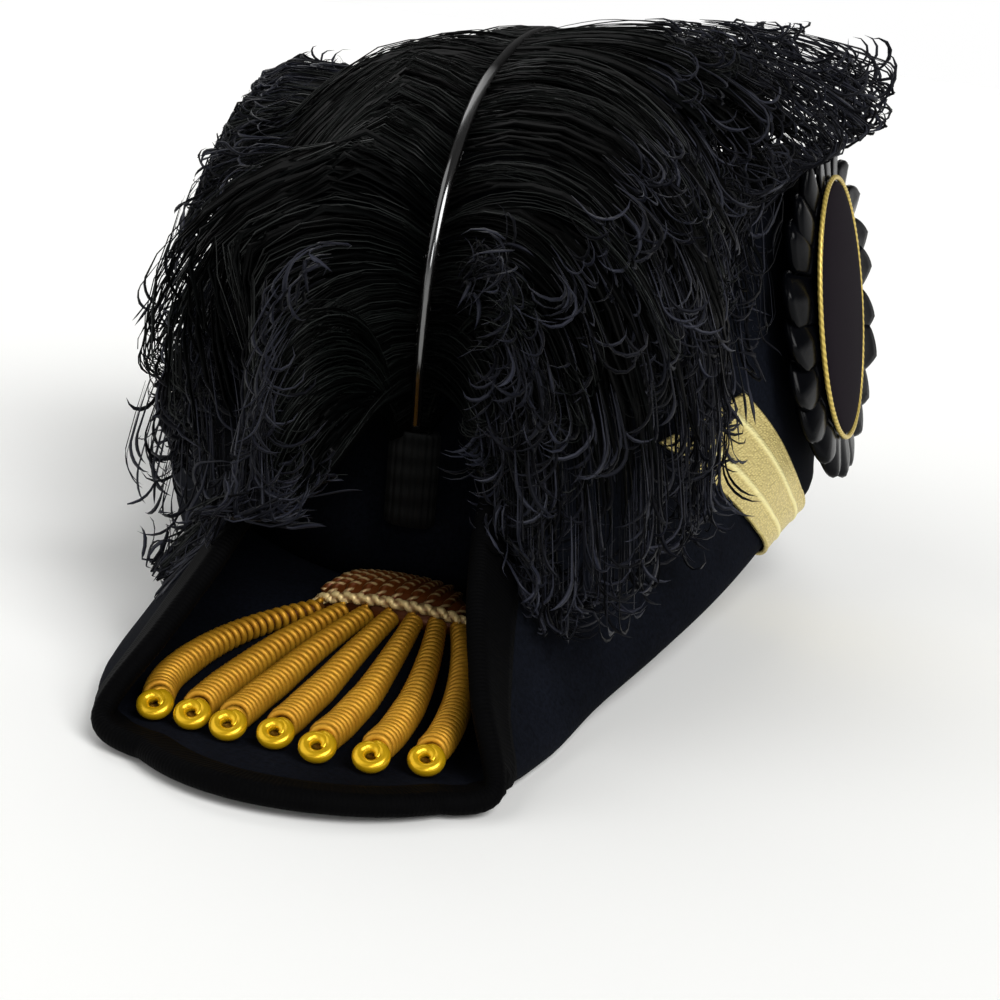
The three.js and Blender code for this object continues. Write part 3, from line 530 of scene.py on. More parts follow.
gimp_share = np.cos(np.linspace(math.pi, 0, GIMP_STEPS))
gimp_path = head_point(gimp_share, np.full(GIMP_STEPS, HEAD_FRONT))[None] + GIMP_OFF
gimp_step = np.arange(GIMP_STEPS)
gimp_path[0, :, 2] += GIMP_WANDER * (np.sin(0.9 * gimp_step) + np.sin(0.37 * gimp_step + 1))
radii, ply = twisted(gimp_path, GIMP_RADIUS, CORD_SIDES, GIMP_PITCH, GIMP_DEPTH)
head_parts.append((*tubes(gimp_path, radii, CORD_SIDES, (0, 1, 0)), ply + GIMP_PALER))
head_points, head_faces, head_crest = joined(head_parts)
tassel_head = mesh_piece("gilt_tassel_head", head_points, head_faces, gilt_cord, crest=head_crest)
stands_for(tassel_head, "wound_thread", "tassel_head")

# Bullion ropes. Each is a coil of gilt wire round a thread core, laid over the floor of the front peak. Its
# end is a thicker polished wire, rolled up like a snail's shell, that leans on the coil's last turn.
ROPES = [
    # root x and y at the tassel's head, x at the bend half way along, tip x and y
    (-14.4, -126.9, -31.4, -30.4, -189.6),
    (-9.1, -126.1, -19.6, -22.1, -191.6),
    (-3.9, -125.6, -11.6, -14, -194.4),
    (1.5, -125.3, -2.6, -4.6, -194.2),
    (6.8, -125.2, 6.4, 4.7, -198),
    (12, -125.4, 15.6, 15.2, -198),
    (17.2, -125.7, 24.2, 25, -193.8),
]
ROPE_ROOT_RADIUS, ROPE_RADIUS, ROPE_FULL = 2.3, 3.4, 0.625  # it is full at this share of its length
COIL_PITCH, COIL_WIRE = 2.1, 0.74
CORE_INSET, CORE_STOP = 1.3, 0.985  # the core under the coil: how deep in wires, and where it stops
CORE_STEPS, CORE_SIDES, TURN_STEPS, WIRE_SIDES = 40, 10, 16, 7
SHELL_RADIUS, SHELL_WIRE, SHELL_LEAN = 2.4, 1.3, math.radians(34)
SHELL_FROM, SHELL_TO = math.radians(-20), math.radians(470)
SHELL_BACK, SHELL_RISE = 0.3, 0.5  # into the coil's end, and from the shell's outer turn to its middle
SHELL_STEPS, SHELL_SIDES = 84, 12
# Factors on radii, as (shares of a length, factors there).
CORE_TAPER = ((0.94, CORE_STOP), (1, 0.3))
COIL_TAPER = ((0.955, 0.98, 1), (1, 0.85, 0.35))
SHELL_SPIRAL = ((0, 0.6, 1), (1.05, 0.98, 0.5))
SHELL_TAPER = ((0, 0.06, 0.7, 1), (0.6, 1, 1, 0.5))

# Gilt wire: plated yellow over brass. The coil is dull with wear between its turns, and the rolled end
# keeps its polish. The thread core under the coil is painted dark brown, partly its own colour and partly
# painted shade.
WEAR = 3
gilt_wire = bare_material("bright_gilt_wire")
depth = add_node(gilt_wire, "Attribute", give="Fac", attribute_name="depth")
polish = add_node(gilt_wire, "Attribute", give="Fac", attribute_name="polish")
place = add_node(gilt_wire, "TexCoord", give="Object")
worn = add_node(gilt_wire, "TexNoise", {"Vector": place, "Scale": 1 / (WEAR * MM), "Detail": 4})
wear = add_node(
    gilt_wire, "Mix", {0: worn, 6: colour("#a86f0c"), 7: colour("#d3a02a")}, give=2, data_type="RGBA"
)
bright = add_node(gilt_wire, "Mix", {0: polish, 6: wear, 7: colour("#dcae12")}, give=2, data_type="RGBA")
tint = add_node(gilt_wire, "Mix", {0: depth, 6: bright, 7: colour("#5a3508")}, give=2, data_type="RGBA")
rough = add_node(gilt_wire, "MapRange", {"Value": polish, "To Min": 0.52, "To Max": 0.27})
surface = add_node(
    gilt_wire, "BsdfPrincipled", {"Base Color": tint, "Metallic": 0.55, "Roughness": rough}
)
add_node(gilt_wire, "OutputMaterial", {"Surface": surface})


def rope_line(rope, share):
    """Middle line and radius of a rope at shares of its length."""
    root_x, root_y, bend_x, tip_x, tip_y = rope
    radius = ROPE_ROOT_RADIUS + (ROPE_RADIUS - ROPE_ROOT_RADIUS) * np.minimum(1, share / ROPE_FULL)
    x = root_x * (1 - share) * (1 - 2 * share) + 4 * bend_x * share * (1 - share)
    x = x + tip_x * share * (2 * share - 1)
    y = root_y + (tip_y - root_y) * share
    return np.stack([x, y, floor_top(y) + SEAM + radius], -1), radius


for number, rope in enumerate(ROPES):
    share = np.linspace(0, CORE_STOP, CORE_STEPS)
    line, radius = rope_line(rope, share)
    core_radius = (radius - CORE_INSET * COIL_WIRE) * np.interp(share, *CORE_TAPER)
    core = tubes(line[None], core_radius[None, :, None], CORE_SIDES, (0, 0, 1))
    length = np.linalg.norm(np.diff(line, axis=0), axis=1).sum() / share[-1]
    coil_turn = np.arange(0, length / COIL_PITCH, 1 / TURN_STEPS)
    coil_share = coil_turn * COIL_PITCH / length
    middle, coil_radius = rope_line(rope, coil_share)
    coil_radius = (coil_radius - COIL_WIRE) * np.interp(coil_share, *COIL_TAPER)
    ahead = unit(np.gradient(middle, axis=0))
    beside = unit(np.cross(ahead, (0, 0, 1)))
    above = np.cross(beside, ahead)
    angle = 2 * math.pi * coil_turn[:, None]
    throw = coil_radius[:, None] * (np.cos(angle) * above + np.sin(angle) * beside)
    coil = tubes((middle + throw)[None], COIL_WIRE, WIRE_SIDES, ahead)

    rolled = np.linspace(0, 1, SHELL_STEPS)
    around = SHELL_FROM + (SHELL_TO - SHELL_FROM) * rolled
    shell_radius = SHELL_RADIUS * np.interp(rolled, *SHELL_SPIRAL)
    tip, _ = rope_line(rope, np.array(1.0))
    shell_y = tip[1] - SHELL_RADIUS * math.cos(SHELL_LEAN) + SHELL_BACK
    shell_z = floor_top(shell_y) + SEAM + SHELL_WIRE + SHELL_RADIUS * math.sin(SHELL_LEAN)
    shell_rear = np.array((0, math.cos(SHELL_LEAN), math.sin(SHELL_LEAN)))
    shell_front = np.cross((1, 0, 0), shell_rear)
    shell_path = np.array((tip[0], shell_y, shell_z)) + shell_radius[:, None] * (
        np.sin(around)[:, None] * np.array((1, 0, 0)) + np.cos(around)[:, None] * shell_rear
    )
    shell_path = shell_path + SHELL_RISE * rolled[:, None] * shell_front
    shell_wire = SHELL_WIRE * np.interp(rolled, *SHELL_TAPER)
    shell = tubes(shell_path[None], shell_wire[None, :, None], SHELL_SIDES, shell_front)

    # The core, sunk between the turns, is painted dark brown by the depth column: partly its own colour and
    # partly painted shade.
    parts = [(coil, 0, 0), (core, 1, 0), (shell, 0, 1)]
    shaded_parts = [(*part, np.full(len(part[0]), shaded)) for part, shaded, _ in parts]
    rope_points, rope_faces, rope_core_shade = joined(shaded_parts)
    rope_polish = np.concatenate([np.full(len(part[0]), shine) for part, _, shine in parts])
    bullion = mesh_piece(
        f"bullion_rope_{number + 1}",
        rope_points,
        rope_faces,
        gilt_wire,
        depth=rope_core_shade,
        polish=rope_polish,
    )
    stands_for(bullion, "bullion_wire", f"bullion_{number + 1}")

# Plume socket. A short sleeve of ribbed black elastic, sewn to the front of the crown, that grips the
# foot of the quill.
QUILL_PATH = [
    # y, z in the hat's middle plane, from the socket up the front and back over the crown
    (-111, 33),
    (-115, 52),
    (-120, 72),
    (-120, 90),
    (-112, 107),
    (-90, 124),
    (-55, 135),
    (-15, 141),
    (30, 142),
    (75, 136),
    (115, 122),
    (146, 101),
]
QUILL_FOOT_RADIUS, QUILL_TIP_RADIUS = 1.9, 0.8
SOCKET_BOTTOM, SOCKET_TOP = 29, 52
SOCKET_HALF_X, SOCKET_HALF_Y = 6, 4.5
SOCKET_RIBS, RIB_DEPTH, RIB_STEPS = 18, 0.45, 8

# Knitted elastic: matt cotton, darker in the gathers that run across its upright ribs: painted shade,
# from the same bands that dent it.
GATHER = 5.03
WAVE_AT_SCALE_1 = 2 * math.pi / 20  # metres from one band of a wave texture to the next
knitted = bare_material("black_ribbed_elastic")
place = add_node(knitted, "TexCoord", give="Object")
rows = add_node(
    knitted,
    "TexWave",
    {"Vector": place, "Scale": WAVE_AT_SCALE_1 / (GATHER * MM), "Distortion": 1.5, "Detail": 1},
    give="Fac",
    bands_direction="Z",
)
knit = add_node(knitted, "Bump", {"Strength": 0.6, "Distance": 0.2 * MM, "Height": rows})
# The low bands of the gathers are painted darker: painted shade.
tint = add_node(
    knitted, "Mix", {0: rows, 6: colour("#040505"), 7: colour("#121313")}, give=2, data_type="RGBA"
)
surface = add_node(
    knitted,
    "BsdfPrincipled",
    {"Base Color": tint, "Roughness": 0.85, "Specular IOR Level": 0.15, "Normal": knit},
)
add_node(knitted, "OutputMaterial", {"Surface": surface})

socket_turn = full_turn(SOCKET_RIBS * RIB_STEPS)
rib_rise = -RIB_DEPTH * (1 - np.abs(np.cos(SOCKET_RIBS * socket_turn / 2)))
socket_slope = (QUILL_PATH[1][0] - QUILL_PATH[0][0]) / (QUILL_PATH[1][1] - QUILL_PATH[0][1])
bore = QUILL_FOOT_RADIUS + SEAM
# Rounds of the sleeve as (how far in from the outer face, z), over the top and down inside.
sleeve_rounds = [(0.5, SOCKET_BOTTOM), (0, SOCKET_BOTTOM + 0.6)]
sleeve_rounds += [(0, z) for z in np.linspace(SOCKET_BOTTOM + 2, SOCKET_TOP - 1.6, 12)]
sleeve_rounds += [(0.1, SOCKET_TOP - 0.7), (0.5, SOCKET_TOP - 0.1)]
sleeve_rounds += [(1, SOCKET_TOP), (1.5, SOCKET_TOP - 0.3)]
sleeve_halves = []
for inset, z in sleeve_rounds:
    rib = rib_rise * max(0, 1 - inset) - inset
    sleeve_halves.append((SOCKET_HALF_X + rib, SOCKET_HALF_Y + rib, z))
for z in (SOCKET_TOP - 1.2, SOCKET_BOTTOM):
    sleeve_halves.append((bore, bore, z))
sleeve = []
for half_x, half_y, z in sleeve_halves:
    middle_y = QUILL_PATH[0][0] + socket_slope * (z - QUILL_PATH[0][1])
    x = half_x * np.cos(socket_turn)
    y = middle_y + half_y * np.sin(socket_turn)
    sleeve.append(np.stack([x, y, np.full_like(x, z)], -1))
sleeve = np.stack(sleeve)
socket = mesh_piece(
    "elastic_plume_socket",
    sleeve,
    [grid_faces(*sleeve.shape[:2], loop_rows=True, loop_columns=True)],
    knitted,
)
stands_for(socket, "elastic", "plume_socket")

# Quill. The stem of an ostrich feather, scraped smooth and dyed black, tapering from the socket to its
# tip behind the crown.
QUILL_STEPS, QUILL_SIDES = 160, 14
CURVE_STEPS = 40  # between two places of its path


def quill_curve():
    """Points along the quill, closely spaced, by centripetal cubics through its path."""
    path = np.array(QUILL_PATH, float)
    path = np.vstack([2 * path[0] - path[1], path, 2 * path[-1] - path[-2]])
    t = np.linspace(0, 1, CURVE_STEPS + 1)[:-1, None]
    points = []
    for a, b, c, d in zip(path, path[1:], path[2:], path[3:]):
        ab, bc, cd = (np.linalg.norm(q - p) ** 0.5 for p, q in ((a, b), (b, c), (c, d)))
        start = bc * ((b - a) / ab - (c - a) / (ab + bc) + (c - b) / bc)
        stop = bc * ((c - b) / bc - (d - b) / (bc + cd) + (d - c) / cd)
        points.append(
            (2 * t**3 - 3 * t**2 + 1) * b
            + (t**3 - 2 * t**2 + t) * start
            + (3 * t**2 - 2 * t**3) * c
            + (t**3 - t**2) * stop
        )
    points = np.vstack([*points, path[-2:-1]])
    return np.column_stack([np.zeros(len(points)), points])


quill_points = quill_curve()
quill_run = np.linalg.norm(np.diff(quill_points, axis=0, prepend=quill_points[:1]), axis=1).cumsum()


def quill_at(share):
    """Points of the quill at shares of its length."""
    run_to = np.asarray(share) * quill_run[-1]
    return np.stack([np.interp(run_to, quill_run, quill_points[:, k]) for k in range(3)], -1)


# Polished horn: near black, with a sharp streak of light up the scraped front of the stem. Behind that
# the stem is dull with down.
HORN_GRAIN = 2
quill_horn = bare_material("black_polished_quill")
polish = add_node(quill_horn, "Attribute", give="Fac", attribute_name="polish")
place = add_node(quill_horn, "TexCoord", give="Object")
grain = add_node(quill_horn, "TexNoise", {"Vector": place, "Scale": 1 / (HORN_GRAIN * MM), "Detail": 4})
tint = add_node(
    quill_horn, "Mix", {0: grain, 6: colour("#030303"), 7: colour("#0b0a0a")}, give=2, data_type="RGBA"
)
scraped = add_node(quill_horn, "Bump", {"Strength": 0.12, "Distance": 0.1 * MM, "Height": grain})
gloss = add_node(quill_horn, "MapRange", {"Value": polish, "To Min": 0.02, "To Max": 0.9})
rough = add_node(quill_horn, "MapRange", {"Value": polish, "To Min": 0.7, "To Max": 0.14})
surface = add_node(
    quill_horn,
    "BsdfPrincipled",
    {
        "Base Color": tint,
        "Roughness": rough,
        "Specular IOR Level": gloss,
        "Coat Weight": polish,
        "Coat Roughness": 0.12,
        "Coat IOR": 1.7,
        "Normal": scraped,
    },
)
add_node(quill_horn, "OutputMaterial", {"Surface": surface})

POLISH_ENDS = (0.24, 0.36)  # shares of the quill between which it turns from polished to dull
quill_share = np.linspace(0, 1, QUILL_STEPS)
quill_radius = QUILL_FOOT_RADIUS + (QUILL_TIP_RADIUS - QUILL_FOOT_RADIUS) * quill_share
quill_line = quill_at(quill_share)[None]
quill_mesh, quill_faces = tubes(quill_line, quill_radius[None, :, None], QUILL_SIDES, (1, 0, 0))
quill = mesh_piece(
    "plume_quill_stem",
    quill_mesh,
    quill_faces,
    quill_horn,
    polish=np.repeat(np.interp(quill_share, POLISH_ENDS, (1, 0)), QUILL_SIDES),
)
stands_for(quill, "quill_horn", "plume_quill")

# Barbs. Thousands of soft dyed barbs leave the quill on both sides, combed into fine parallel arcs near
# it, and their ends are curled with a blunt knife into hooks that hang over the fans. Left and right in
# this section are as seen from the front, so that left is -X.
LEFT_LOCKS = [
    # share of the quill, length, lift off the hat, sweep to the tip, sag
    (0.07, 90, 3.4, 0.1, 2.9),
    (0.13, 104, 1.75, 0.3, 3.2),
    (0.2, 104, 0.85, 0.45, 2.6),
    (0.3, 106, 0.35, 0.3, 2.2),
    (0.5, 98, -0.05, 0.12, 2.2),
    (0.65, 84, -0.1, 0.2, 2.6),
    (0.8, 72, 0, 0.4, 3.4),
    (1, 60, 0.15, 1.1, 2.4),
]
RIGHT_LOCKS = [
    (0.07, 70, 1.1, 0.5, 3.6),
    (0.17, 102, 0.8, 0.35, 3.5),
    (0.27, 116, 0.45, 0.08, 3.4),
    (0.38, 110, 0.3, 0.12, 3),
    (0.44, 92, 0.3, 0.15, 1.2),
    (0.6, 93, 0.15, 0.2, 0.7),
    (0.7, 102, 0.05, 0.25, 3),
    (0.8, 90, 0, 0.4, 3.8),
    (1, 66, 0.15, 1.1, 2.4),
]
BARB_KINDS = {
    # The broad barbs below, painted darker and duller than the rest as painted shade, the fine combed ones,
    # and those of which only the curled end is drawn.
    # Count on a side, count in a lock, steps to the curl and in it, the first step that is drawn, and how
    # much closer the barbs stand at the front of the quill
    "under": (440, 1, 8, 2, 0, 1.15),
    "combed": (1530, 9, 11, 8, 0, 1.35),
    "curled": (3150, 3, 14, 6, 12, 1.1),
}
BARB_RANGES = {
    # Share of a full length that runs straight on the left and on the right, lengths and radii of the
    # curl, gap to the felt, lift above the common one
    "under": ((0.5, 0.84), (0.5, 0.84), (4, 8), (9, 14), (1, 2), (-0.32, -0.08)),
    "combed": ((0.7, 0.94), (0.35, 0.68), (10, 16), (2.6, 4.2), (1.5, 4.5), (-0.28, 0.06)),
    "curled": ((0.66, 1.08), (0.34, 1.04), (8, 15), (3.2, 7), (2, 7.5), (-0.1, 0.22)),
}
# Half width, flatness and clinging of a kind, and its relative widths at places along what is drawn.
WIDTH_PLACES = (0, 0.4, 0.7, 1)
BARB_SHAPES = {
    "under": (1.25, 0.15, 0, (0.5, 1, 1, 0.15)),
    "combed": (0.19, 0.8, 0.5, (0.75, 1, 1, 0.3)),
    "curled": (0.58, 0.25, 0.3, (0.15, 0.9, 1, 0.04)),
}
ROOT_BEFORE, ROOT_LAST, ROOT_SPREAD = 0.012, 0.995, 0.0035  # shares of the quill
ROOT_OUT, ROOT_DEPTH = 0.9, 0.7  # from the quill's middle: to the side, and up and down
LONGER = 0.75  # below 1 there are more long barbs than short ones
SWEEP_SPREAD, SAG_SPREAD, SAG_MEAN = (0.1, 0.04), (0.07, 0.04), 1.02  # among locks, and in a lock
STRAIGHT_SPREAD, CURL_SPREAD, GAP_SPREAD, LIFT_SPREAD = 0.02, 0.1, 0.4, 0.04  # in a lock
SIDEWAYS, OUTWARD = 0.6, 0.06  # shares of the locks that curl along the fan, and away from it
FAN_LEAN = (0.85, 0, 0.5)  # out of a fan, on the side of +X
LOCK_SCATTER, BARB_SCATTER = 0.45, 0.35  # of the axes of the curls
CURL_START, CURL_TIGHTENS = 1.3, 0.5  # its first radius, and how much of that is lost at the end
CLING_PLACES, CLING_SHARES = (0.1, 0.5, 0.6, 1), (0, 1, 1, 0.6)  # along a barb: how it joins its lock
UNDER_ACROSS = (0, 0.7, 0.7)  # the way the under barbs are broad, to close the gaps seen from the side

# Limits of the plume. The ends bunch up where they pass one: a part of the way beyond it is kept, and a
# looser barb, which has a wider gap to the felt, has a wider limit.
KEPT, KEPT_IN_FRONT = 0.3, 0.45
LOOSER_BELOW, LOOSER_IN_FRONT, LOOSER_ABOVE = 1.8, 3.4, 0.3
FRONT_END = -147
LOWEST = {
    # Height at places from front to rear. On the right the barbs end at the strap.
    -1: ((-105, 40), (27, 27)),
    1: ((-125, -110, -84, -40, 40), (36, 30, 54, 54, 27)),
}
REACHES = {
    # How far the barbs stand out beyond the felt, at places from front to rear
    -1: ((-160, -148, -135, -120, -85, -60, -20), (0, 8, 27, 42, 36, 18, 3)),
    1: ((-115, -75), (42, 9)),
}
MOST_OUT = 106  # from the hat's middle
OVERHANG, OVERHANG_RISE = 15, 10  # how far more they stand out this high above the rosette's fan
CRESTS = {
    # How far they rise above the quill, at places from front to rear
    -1: ((-110, -70), (14, 10)),
    1: ((-110, -70), (14, 4)),
}
LEFT_FAN_CREST = ((-120, -85, -60), (45, 10, 1))  # the same above the edge of the left fan
LEFT_FALL, LEFT_PAST_EDGE = 1.9, 2  # the curve from the quill to that edge, and where it ends
RIGHT_RISE = 6  # higher at the edge of the right fan than at the quill
TROUGH_FROM, TROUGH_RUN, TROUGH_FLOOR = -112, 25, 34  # in front of the crown barbs hang between the fans
WALL_GAP = 4  # and stay this far from a fan's inner face
ROSETTE_Y, ROSETTE_Z, ROSETTE_HALF_Y, ROSETTE_HALF_Z = -9, 76, 43, 51  # an oval that no barb lies in
ROSETTE_CORE = 0.3  # share of the oval within which barbs are pushed out no harder


def clear_of_hat(points, side, clearance):
    """Keeps barbs off the felt and the rosette and inside the plume's limits: they rest on the edges of the
    fans, hang into the front trough and close outside the fans, and part round the rosette."""
    x, y, z = points.T.copy()
    foot_x, foot_z, edge_x, edge_z, belly = brim_at(y, side)
    out = side * x
    over = out < edge_x + clearance
    wall_z = foot_z + (edge_z - foot_z) * np.clip((out + WALL_GAP - foot_x) / (edge_x - foot_x), 0, 1)
    in_trough = np.clip((TROUGH_FROM - y) / TROUGH_RUN, 0, 1)
    least_z = edge_z + (np.maximum(wall_z, TROUGH_FLOOR) - edge_z) * in_trough + clearance
    lowest = np.interp(y, *LOWEST[side]) - LOOSER_BELOW * clearance
    z = np.where(z < lowest, lowest + KEPT * (z - lowest), z)
    z = np.where(over, np.maximum(z, least_z), z)
    share = np.clip((z - foot_z) / (edge_z - foot_z), 0, 1)
    felt = foot_x + (edge_x - foot_x) * share + 4 * belly * share * (1 - share)
    beside = ~over & (z < edge_z + clearance)
    out = np.where(beside, np.maximum(out, felt + clearance), out)
    reach = np.minimum(felt + np.interp(y, *REACHES[side]), MOST_OUT)
    if side > 0:
        reach = reach + OVERHANG * np.clip((z - edge_z) / OVERHANG_RISE, 0, 1)
        from_y, from_z = y - ROSETTE_Y, z - ROSETTE_Z
        within = np.hypot(from_y / ROSETTE_HALF_Y, from_z / ROSETTE_HALF_Z)
        push = np.where(out > edge_x, np.maximum(1, 1 / np.maximum(within, ROSETTE_CORE)), 1)
        y, z = ROSETTE_Y + from_y * push, ROSETTE_Z + from_z * push
    out = np.where(out > reach, reach + KEPT * (out - reach), out)
    quill_y, quill_z = np.transpose(QUILL_PATH[4:])
    crest = np.interp(y, quill_y, quill_z) + np.interp(y, *CRESTS[side])
    if side < 0:
        low = edge_z + np.interp(y, *LEFT_FAN_CREST)
        fall = 1 - np.clip(out / (edge_x + LEFT_PAST_EDGE), 0, 1) ** LEFT_FALL
        crest = low + (crest - low) * fall
    else:
        crest = crest + RIGHT_RISE * np.clip(out / edge_x, 0, 1)
    crest = crest + LOOSER_ABOVE * clearance
    front = FRONT_END - LOOSER_IN_FRONT * clearance
    y = np.where(y < front, front + KEPT_IN_FRONT * (y - front), y)
    return np.stack([side * out, y, np.minimum(z, crest)], -1)


def barb_paths(draw, side, rows, kind, ranges, cling):
    """Paths of barbs from the quill and the axes of their curls: the barbs sag steadily, and then curl up
    in a tightening spiral. Each lock draws its own values, from which its barbs differ a little."""
    count, per_lock, straight_steps, curl_steps, drawn_from, front_bias = kind
    *straight, curl_length, curl_radius, gap, lifted = ranges
    locks = -(-count // per_lock)
    lock = np.arange(count) // per_lock
    first = rows[0][0] - ROOT_BEFORE
    root = (first + (ROOT_LAST - first) * np.sort(draw.uniform(0, 1, locks)) ** front_bias)[lock]
    at = np.clip(root + draw.normal(0, ROOT_SPREAD, count), first - 0.008, 1)
    length, lift, sweep, sag = smooth_rows(rows, at)
    least, most = straight[side > 0]
    straight = least + (most - least) * draw.uniform(0, 1, locks)[lock] ** LONGER
    straight = straight + draw.normal(0, STRAIGHT_SPREAD, count)
    curl_length = draw.uniform(*curl_length, locks)[lock] * draw.normal(1, CURL_SPREAD, count)
    curl_radius = draw.uniform(*curl_radius, locks)[lock] * draw.normal(1, CURL_SPREAD, count)
    clearance = draw.uniform(*gap, locks)[lock] + draw.uniform(-GAP_SPREAD, GAP_SPREAD, count)
    lift = lift + draw.uniform(*lifted, locks)[lock] + draw.normal(0, LIFT_SPREAD, count)
    sweep = sweep + draw.normal(0, SWEEP_SPREAD[0], locks)[lock] + draw.normal(0, SWEEP_SPREAD[1], count)
    sag_share = draw.normal(SAG_MEAN, SAG_SPREAD[0], locks)[lock]
    sag = sag * (sag_share + draw.normal(0, SAG_SPREAD[1], count))
    curl_kind = draw.uniform(0, 1, locks)
    along_fan = draw.choice((-1, 1), locks)[:, None] * np.multiply(FAN_LEAN, (side, 1, 1))
    to_fan = np.where(curl_kind < SIDEWAYS + OUTWARD, -side, side)[:, None] * np.array((0, 1, 0))
    axis = np.where(curl_kind[:, None] < SIDEWAYS, along_fan, to_fan)
    axis = axis + LOCK_SCATTER * draw.normal(0, 1, (locks, 3))
    axis = unit(axis[lock] + BARB_SCATTER * draw.normal(0, 1, (count, 3)))
    ahead = unit(quill_at(at + 0.004) - quill_at(at - 0.004))
    away = np.cross((1, 0, 0), ahead)
    heading = unit(side * np.array((1, 0, 0)) + sweep[:, None] * ahead + lift[:, None] * away)
    point = quill_at(at) + away * draw.uniform(-ROOT_DEPTH, ROOT_DEPTH, count)[:, None]
    point[:, 0] = side * ROOT_OUT
    path = [point]
    for number in range(straight_steps + curl_steps):
        curling = number >= straight_steps
        step = curl_length / curl_steps if curling else length * straight / straight_steps
        here = path[-1]
        there = here + heading * step[:, None]
        if number > 0:
            there = clear_of_hat(there, side, clearance)
        heading = unit(there - here)
        path.append(there)
        heading = unit(heading - np.outer(sag * step / length, (0, 0, 1)))
        if number == straight_steps - 1:
            axis = unit(axis - heading * np.sum(axis * heading, -1, keepdims=True))
        if number >= straight_steps - 1:
            tighter = CURL_START - CURL_TIGHTENS * (number - straight_steps + 1) / curl_steps
            angle = (curl_length / curl_steps / (curl_radius * tighter))[:, None]
            along_axis = axis * np.sum(axis * heading, -1, keepdims=True)
            across_axis = heading - along_axis
            heading = along_axis + across_axis * np.cos(angle) + np.cross(axis, heading) * np.sin(angle)
            heading = unit(heading)
    path = np.stack(path, 1)
    sums = np.zeros((locks, *path.shape[1:]))
    np.add.at(sums, lock, path)
    middle = (sums / np.bincount(lock)[:, None, None])[lock]
    share = np.linspace(0, 1, path.shape[1])
    closer = cling * np.interp(share, CLING_PLACES, CLING_SHARES)
    return (path + closer[None, :, None] * (middle - path))[:, drawn_from:], axis


# Dyed ostrich barbs: black with a dull gleam along each barb, greenish where they are combed and bluer at
# the curled ends, whose down shows as a pale bloom: a sheen, with a painted sheen that makes each barb
# paler towards its tip. Combed barbs of 0.2 mm are drawn 0.4 mm thick so that they show, and the curled
# ends, which are broad with down, are flat and 1.2 mm wide.
BARBULE = 0.6
barb_materials = {}
for name, dark, pale, gleam, down in (
    # The barbs below are a darker, duller copy of the others: painted shade.
    ("under", "#010101", "#030404", 0.02, 0),
    ("combed", "#010101", "#0e1311", 0.32, 0),
    ("curled", "#010102", "#20222d", 0.22, 0.03),
):
    dyed = bare_material(f"dyed_ostrich_barbs_{name}")
    hue = add_node(dyed, "Attribute", give="Fac", attribute_name="hue")
    tint = add_node(dyed, "Mix", {0: hue, 6: colour(dark), 7: colour(pale)}, give=2, data_type="RGBA")
    shine = add_node(dyed, "MapRange", {"Value": hue, "To Min": 0.03, "To Max": gleam})
    place = add_node(dyed, "TexCoord", give="Object")
    barbules = add_node(dyed, "TexNoise", {"Vector": place, "Scale": 1 / (BARBULE * MM), "Detail": 2})
    downy = add_node(dyed, "Bump", {"Strength": 0.4, "Distance": 0.1 * MM, "Height": barbules})
    surface = add_node(
        dyed,
        "BsdfPrincipled",
        {
            "Base Color": tint,
            "Roughness": 0.5,
            "Specular IOR Level": shine,
            "Sheen Weight": down,
            "Sheen Roughness": 0.4,
            "Normal": downy,
        },
    )
    add_node(dyed, "OutputMaterial", {"Surface": surface})
    barb_materials[name] = dyed

BARB_SIDES = 3
THINNEST, THICKEST = 0.7, 1.2
ROLLED = 0.6  # how much flat barbs differ in the way that they face
TIP_PAINTED_SHEEN = 0.25
draw = np.random.default_rng(7)
for hand, side, rows in (("left", -1, LEFT_LOCKS), ("right", 1, RIGHT_LOCKS)):
    for name, kind in BARB_KINDS.items():
        half_width, flatness, cling, widths = BARB_SHAPES[name]
        paths, axis = barb_paths(draw, side, rows, kind, BARB_RANGES[name], cling)
        count, places = paths.shape[:2]
        share = np.linspace(0, 1, places)
        taper = half_width * np.interp(share, WIDTH_PLACES, widths)
        radii = taper[None, :, None] * draw.uniform(THINNEST, THICKEST, count)[:, None, None]
        beside = unit(axis + ROLLED * draw.normal(0, 1, axis.shape))[:, None]
        if name == "under":
            beside = np.cross(UNDER_ACROSS, np.gradient(paths, axis=1))
        points, faces = tubes(paths, radii, BARB_SIDES, beside, flatness)
        # Each barb keeps a random tone, and is painted paler towards its tip as a painted sheen.
        hue = draw.uniform(0, 1, count)[:, None] ** 2 + TIP_PAINTED_SHEEN * share[None, :] ** 2
        barbs = mesh_piece(
            f"plume_barbs_{name}_{hand}",
            points,
            faces,
            barb_materials[name],
            hue=np.repeat(np.clip(hue, 0, 1).reshape(-1), BARB_SIDES),
        )
        stands_for(barbs, "feather", f"plume_vane_{hand}")

# Gold strap. A strip of woven metal lace, 25 mm wide, that comes out from under the fold of the fan on
# the rosette's side and slants up it. Two lengthwise lines are woven in brighter thread.
STRAP_WIDTH, STRAP_THICKNESS, STRAP_LIE = 25, 0.9, 0.6
STRAP_FOOT_Y, STRAP_SLANT, STRAP_BOTTOM, STRAP_TOP = -34, math.radians(43), -8, 45
STRAP_STEPS, STRAP_COLUMNS = 90, 56
LINE_PLACES, LINE_HALF, HEM_WIDTH = (0.3, 0.75), 0.045, 0.03  # shares of its width
LINE_SHARPNESS = 1.6
LINE_RELIEF, HEM_RELIEF = 0.28, 0.18
LACE_PITCH = 0.9


